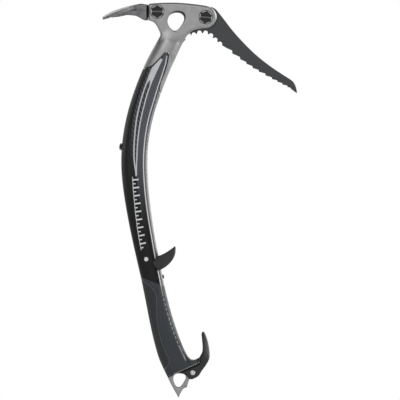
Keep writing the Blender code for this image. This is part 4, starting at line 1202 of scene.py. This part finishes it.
def handle_marks(made):
    """The grip's ridge line, painted highlights on the pommel hook and panel rim, and painted shade in the
    screw socket and under the flange.
    """
    x, y, z = positions(made["pommel"])
    (from_x, from_z), fade_x, fade_z = POMMEL_HIGHLIGHT_FROM, 7.0, 12.0
    # painted highlight up the pommel hook, growing forwards and upwards
    mark(made["pommel"], "worn", np.clip((x - from_x) / fade_x, 0, 1) * np.clip((z - from_z) / fade_z, 0, 1))
    x, y, z = positions(made["pommel_screw"])
    radius = np.hypot(x - POMMEL_SCREW[0], z - POMMEL_SCREW[1])
    # painted shade round the pommel screw's socket
    mark(made["pommel_screw"], "painted_shade", (radius > 1.3) & (radius < 2.0) & (y < -8))
    x, y, z = positions(made["grip"])
    ridge = np.concatenate([shifted(smooth_line(STRIP_EDGE, 5), RIDGE_OFF), RIDGE_END])
    beside_ridge = from_outline(x, z, ridge)
    vector_attribute(made["grip"], "ridge", station(x, z)[0], beside_ridge, beside_ridge)
    x, y, z = positions(made["spike"])
    rear = x < FLANGE_LINE[0][0] + 6
    shadow = beside(FLANGE_LINE, x, z) > -FLANGE_THICKNESS - 0.3 - 0.7 * rear
    # painted shadow under the spike's flange, deepest at its rear
    mark(made["spike"], "painted_shade", (0.35 + 0.65 * rear) * shadow)
    x, y, z = positions(made["grip_rear_panel"])
    rim = -from_outline(x, z, panel_outline())
    # painted highlight round the rear panel's rim
    mark(made["grip_rear_panel"], "worn", 0.5 * np.clip((1.3 - rim) / 0.5, 0, 1))


def mark_pieces(made):
    """Tells the materials where the pieces get painted highlights and painted shade, and where they are
    printed.
    """
    shaft_attributes(made["shaft"])
    head_marks(made["head"], made["adze"])
    for side, centre in HEAD_BOLTS.items():
        bolt_marks(made[side + "_bolt"], centre, SLOT_TURNS[side])
    handle_marks(made)
    for node, share in PAINTED_HIGHLIGHTS.items():
        mark(made[node], "worn", np.full(len(made[node].data.vertices), share))


# Putting it together

SLOTS = {"head": "cast_steel", "spike": "cast_steel", "pick": "blackened_steel", "adze": "grey_steel",
         "adze_bolt": "black_steel", "pick_bolt": "black_steel", "adze_nut": "black_steel",
         "pick_nut": "black_steel", "trigger_screw": "black_steel", "leash_stud": "black_steel",
         "shaft": "carbon_fibre", "trigger": "black_nylon", "trigger_plug": "black_nylon",
         "leash_stud_washer": "black_nylon", "pommel": "black_nylon", "grip": "grip_rubber",
         "grip_rear_panel": "soft_rubber", "grip_front_strip": "soft_rubber"}
SCREWS = ("adze_bolt", "pick_bolt", "pommel_screw", "trigger_screw", "leash_stud")
HIDDEN = ("trigger_insert", "plug_insert", "leash_stud_insert", "spike_pin")  # shown by CAD meshes


def body_of(node):
    if node in SCREWS:
        return node + "_body"
    if node.endswith("_washer"):
        return node.replace("_washer", "_carriage")
    return "tool"


def dress(made, material, node):
    """Gives a piece its material, and puts it on its body in place of its CAD node."""
    made.data.materials.clear()
    made.data.materials.append(material)
    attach(made, body_of(node))
    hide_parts(node)


def fields():
    """The cast and moulded pieces: each one's field and the spacing of its grid."""
    found = {"head": (head_field, FINE), "pick": (pick_field, 0.5), "adze": (adze_field, 0.6),
             "spike": (spike_field, 0.5), "pommel": (pommel_field, 0.6), "trigger": (trigger_field, FINE)}
    for side, centre in HEAD_BOLTS.items():
        found[side + "_bolt"] = bolt_field(centre, SLOT_TURNS[side], HEAD_TURNS[side]), 0.3
        found[side + "_nut"] = nut_field(centre, *NUT), 0.3
    found["pommel_nut"] = nut_field(POMMEL_SCREW, *POMMEL_NUT), 0.25
    return found


def build():
    """Every visible piece, by the CAD node that it stands for."""
    made = turned_pieces()
    for node, (field, step) in fields().items():
        made[node] = surface(piece_name(node), field, *cad_corners(node), step)
    made["shaft"] = shaft()
    made["grip"] = grip()
    made["grip_rear_panel"] = grip_insert("GripRearPanel", panel_outline())
    made["grip_front_strip"] = grip_insert("GripFrontStrip", strip_outline())
    mark_pieces(made)
    return made


def assemble():
    materials = {slot: make() for slot, make in MATERIALS.items()}
    for node, piece in build().items():
        slot = SLOTS.get(node, "bright_steel")
        dress(piece, materials[slot], node)
    for node in HIDDEN:
        slots = frame["nodes"][node].data.materials
        slots.clear()
        slots.append(materials["bright_steel"])


# Stage

FLOOR_Z, FLOOR_HALF = -0.477, 4000
CAMERA_AT, CAMERA_WIDTH = (0.0307, -2.0, -0.2256), 0.5056
AIM = (0.0, 0.0, -0.22)
LIGHTS = [  # place, width, height and power of each
    ("Key", (-0.7, -3.6, 1.7), 1.8, 1.8, 12), ("Side", (3.0, -1.4, 0.25), 1.8, 2.4, 13.5),
    ("Rim", (3.25, 2.0, 1.1), 1.25, 3.2, 31)]
ROOM = 0.10  # brightness of the room's darkest part
PANELS = [  # direction of each bright part of the room, the cosines where it starts and is full, brightness
    ((-0.08, -1.0, 0.05), 0.60, 0.97, 0.86), ((1.0, -0.1, -0.1), 0.60, 0.95, 1.2),
    ((-0.70, 0.65, 0.45), 0.86, 0.99, 0.5), ((-0.9, -0.45, 0.2), 0.6, 0.97, 0.25),
    ((0.75, 0.9, 0.1), 0.25, 0.9, 2.2), ((-0.8, 0.9, 0.2), 0.3, 0.95, 0.25),
    ((0.0, 0.0, 1.0), 0.3, 0.95, 0.12)]


def floor():
    corners = [(x * FLOOR_HALF, y * FLOOR_HALF, 0) for x, y in ((-1, -1), (1, -1), (1, 1), (-1, 1))]
    made = new_object("Floor", corners, [(0, 1, 2, 3)])
    made.location.z = FLOOR_Z
    paint = Paint("PaleFloor", 0.0, 0.8)
    paint.link(paint.vary(paint.noise(3.0, 2.0), (0.825,) * 3, (0.84,) * 3), "Base Color")
    made.data.materials.append(paint.material)


def world():
    """White to the camera. To everything else, a dark room with soft bright panels."""
    made = bpy.data.worlds.new("Studio")
    made.use_nodes = True
    made.node_tree.nodes.clear()
    nodes = Nodes(made.node_tree)
    way = nodes.add("TexCoord", "Generated", {})
    total = ROOM
    for direction, start, full, brightness in PANELS:
        facing = nodes.add("VectorMath", "Value", {0: way, 1: Vector(direction).normalized()},
                           operation='DOT_PRODUCT')
        total = nodes.math('ADD', nodes.level(facing, start, full, 0.0, brightness), total)
    room = nodes.add("Background", 0, {"Color": (1, 1, 1, 1), "Strength": total})
    white = nodes.add("Background", 0, {"Color": (1, 1, 1, 1)})
    seen = nodes.add("LightPath", "Is Camera Ray", {})
    nodes.add("OutputWorld", None, {0: nodes.add("MixShader", 0, {0: seen, 1: room, 2: white})})
    bpy.context.scene.world = made


def camera():
    data = bpy.data.cameras.new("Camera")
    data.type, data.ortho_scale = 'ORTHO', CAMERA_WIDTH
    made = linked("Camera", data, CAMERA_AT)
    made.rotation_euler = (math.radians(90), 0, 0)
    bpy.context.scene.camera = made


def light(name, place, width, height, power):
    data = bpy.data.lights.new(name, 'AREA')
    data.shape, data.size, data.size_y, data.energy = 'RECTANGLE', width, height, power
    made = linked(name, data, place)
    made.rotation_euler = (Vector(AIM) - Vector(place)).to_track_quat('-Z', 'Y').to_euler()


def studio():
    floor()
    world()
    camera()
    for row in LIGHTS:
        light(*row)
    bpy.context.scene.view_settings.view_transform = 'Standard'


assemble()
studio()
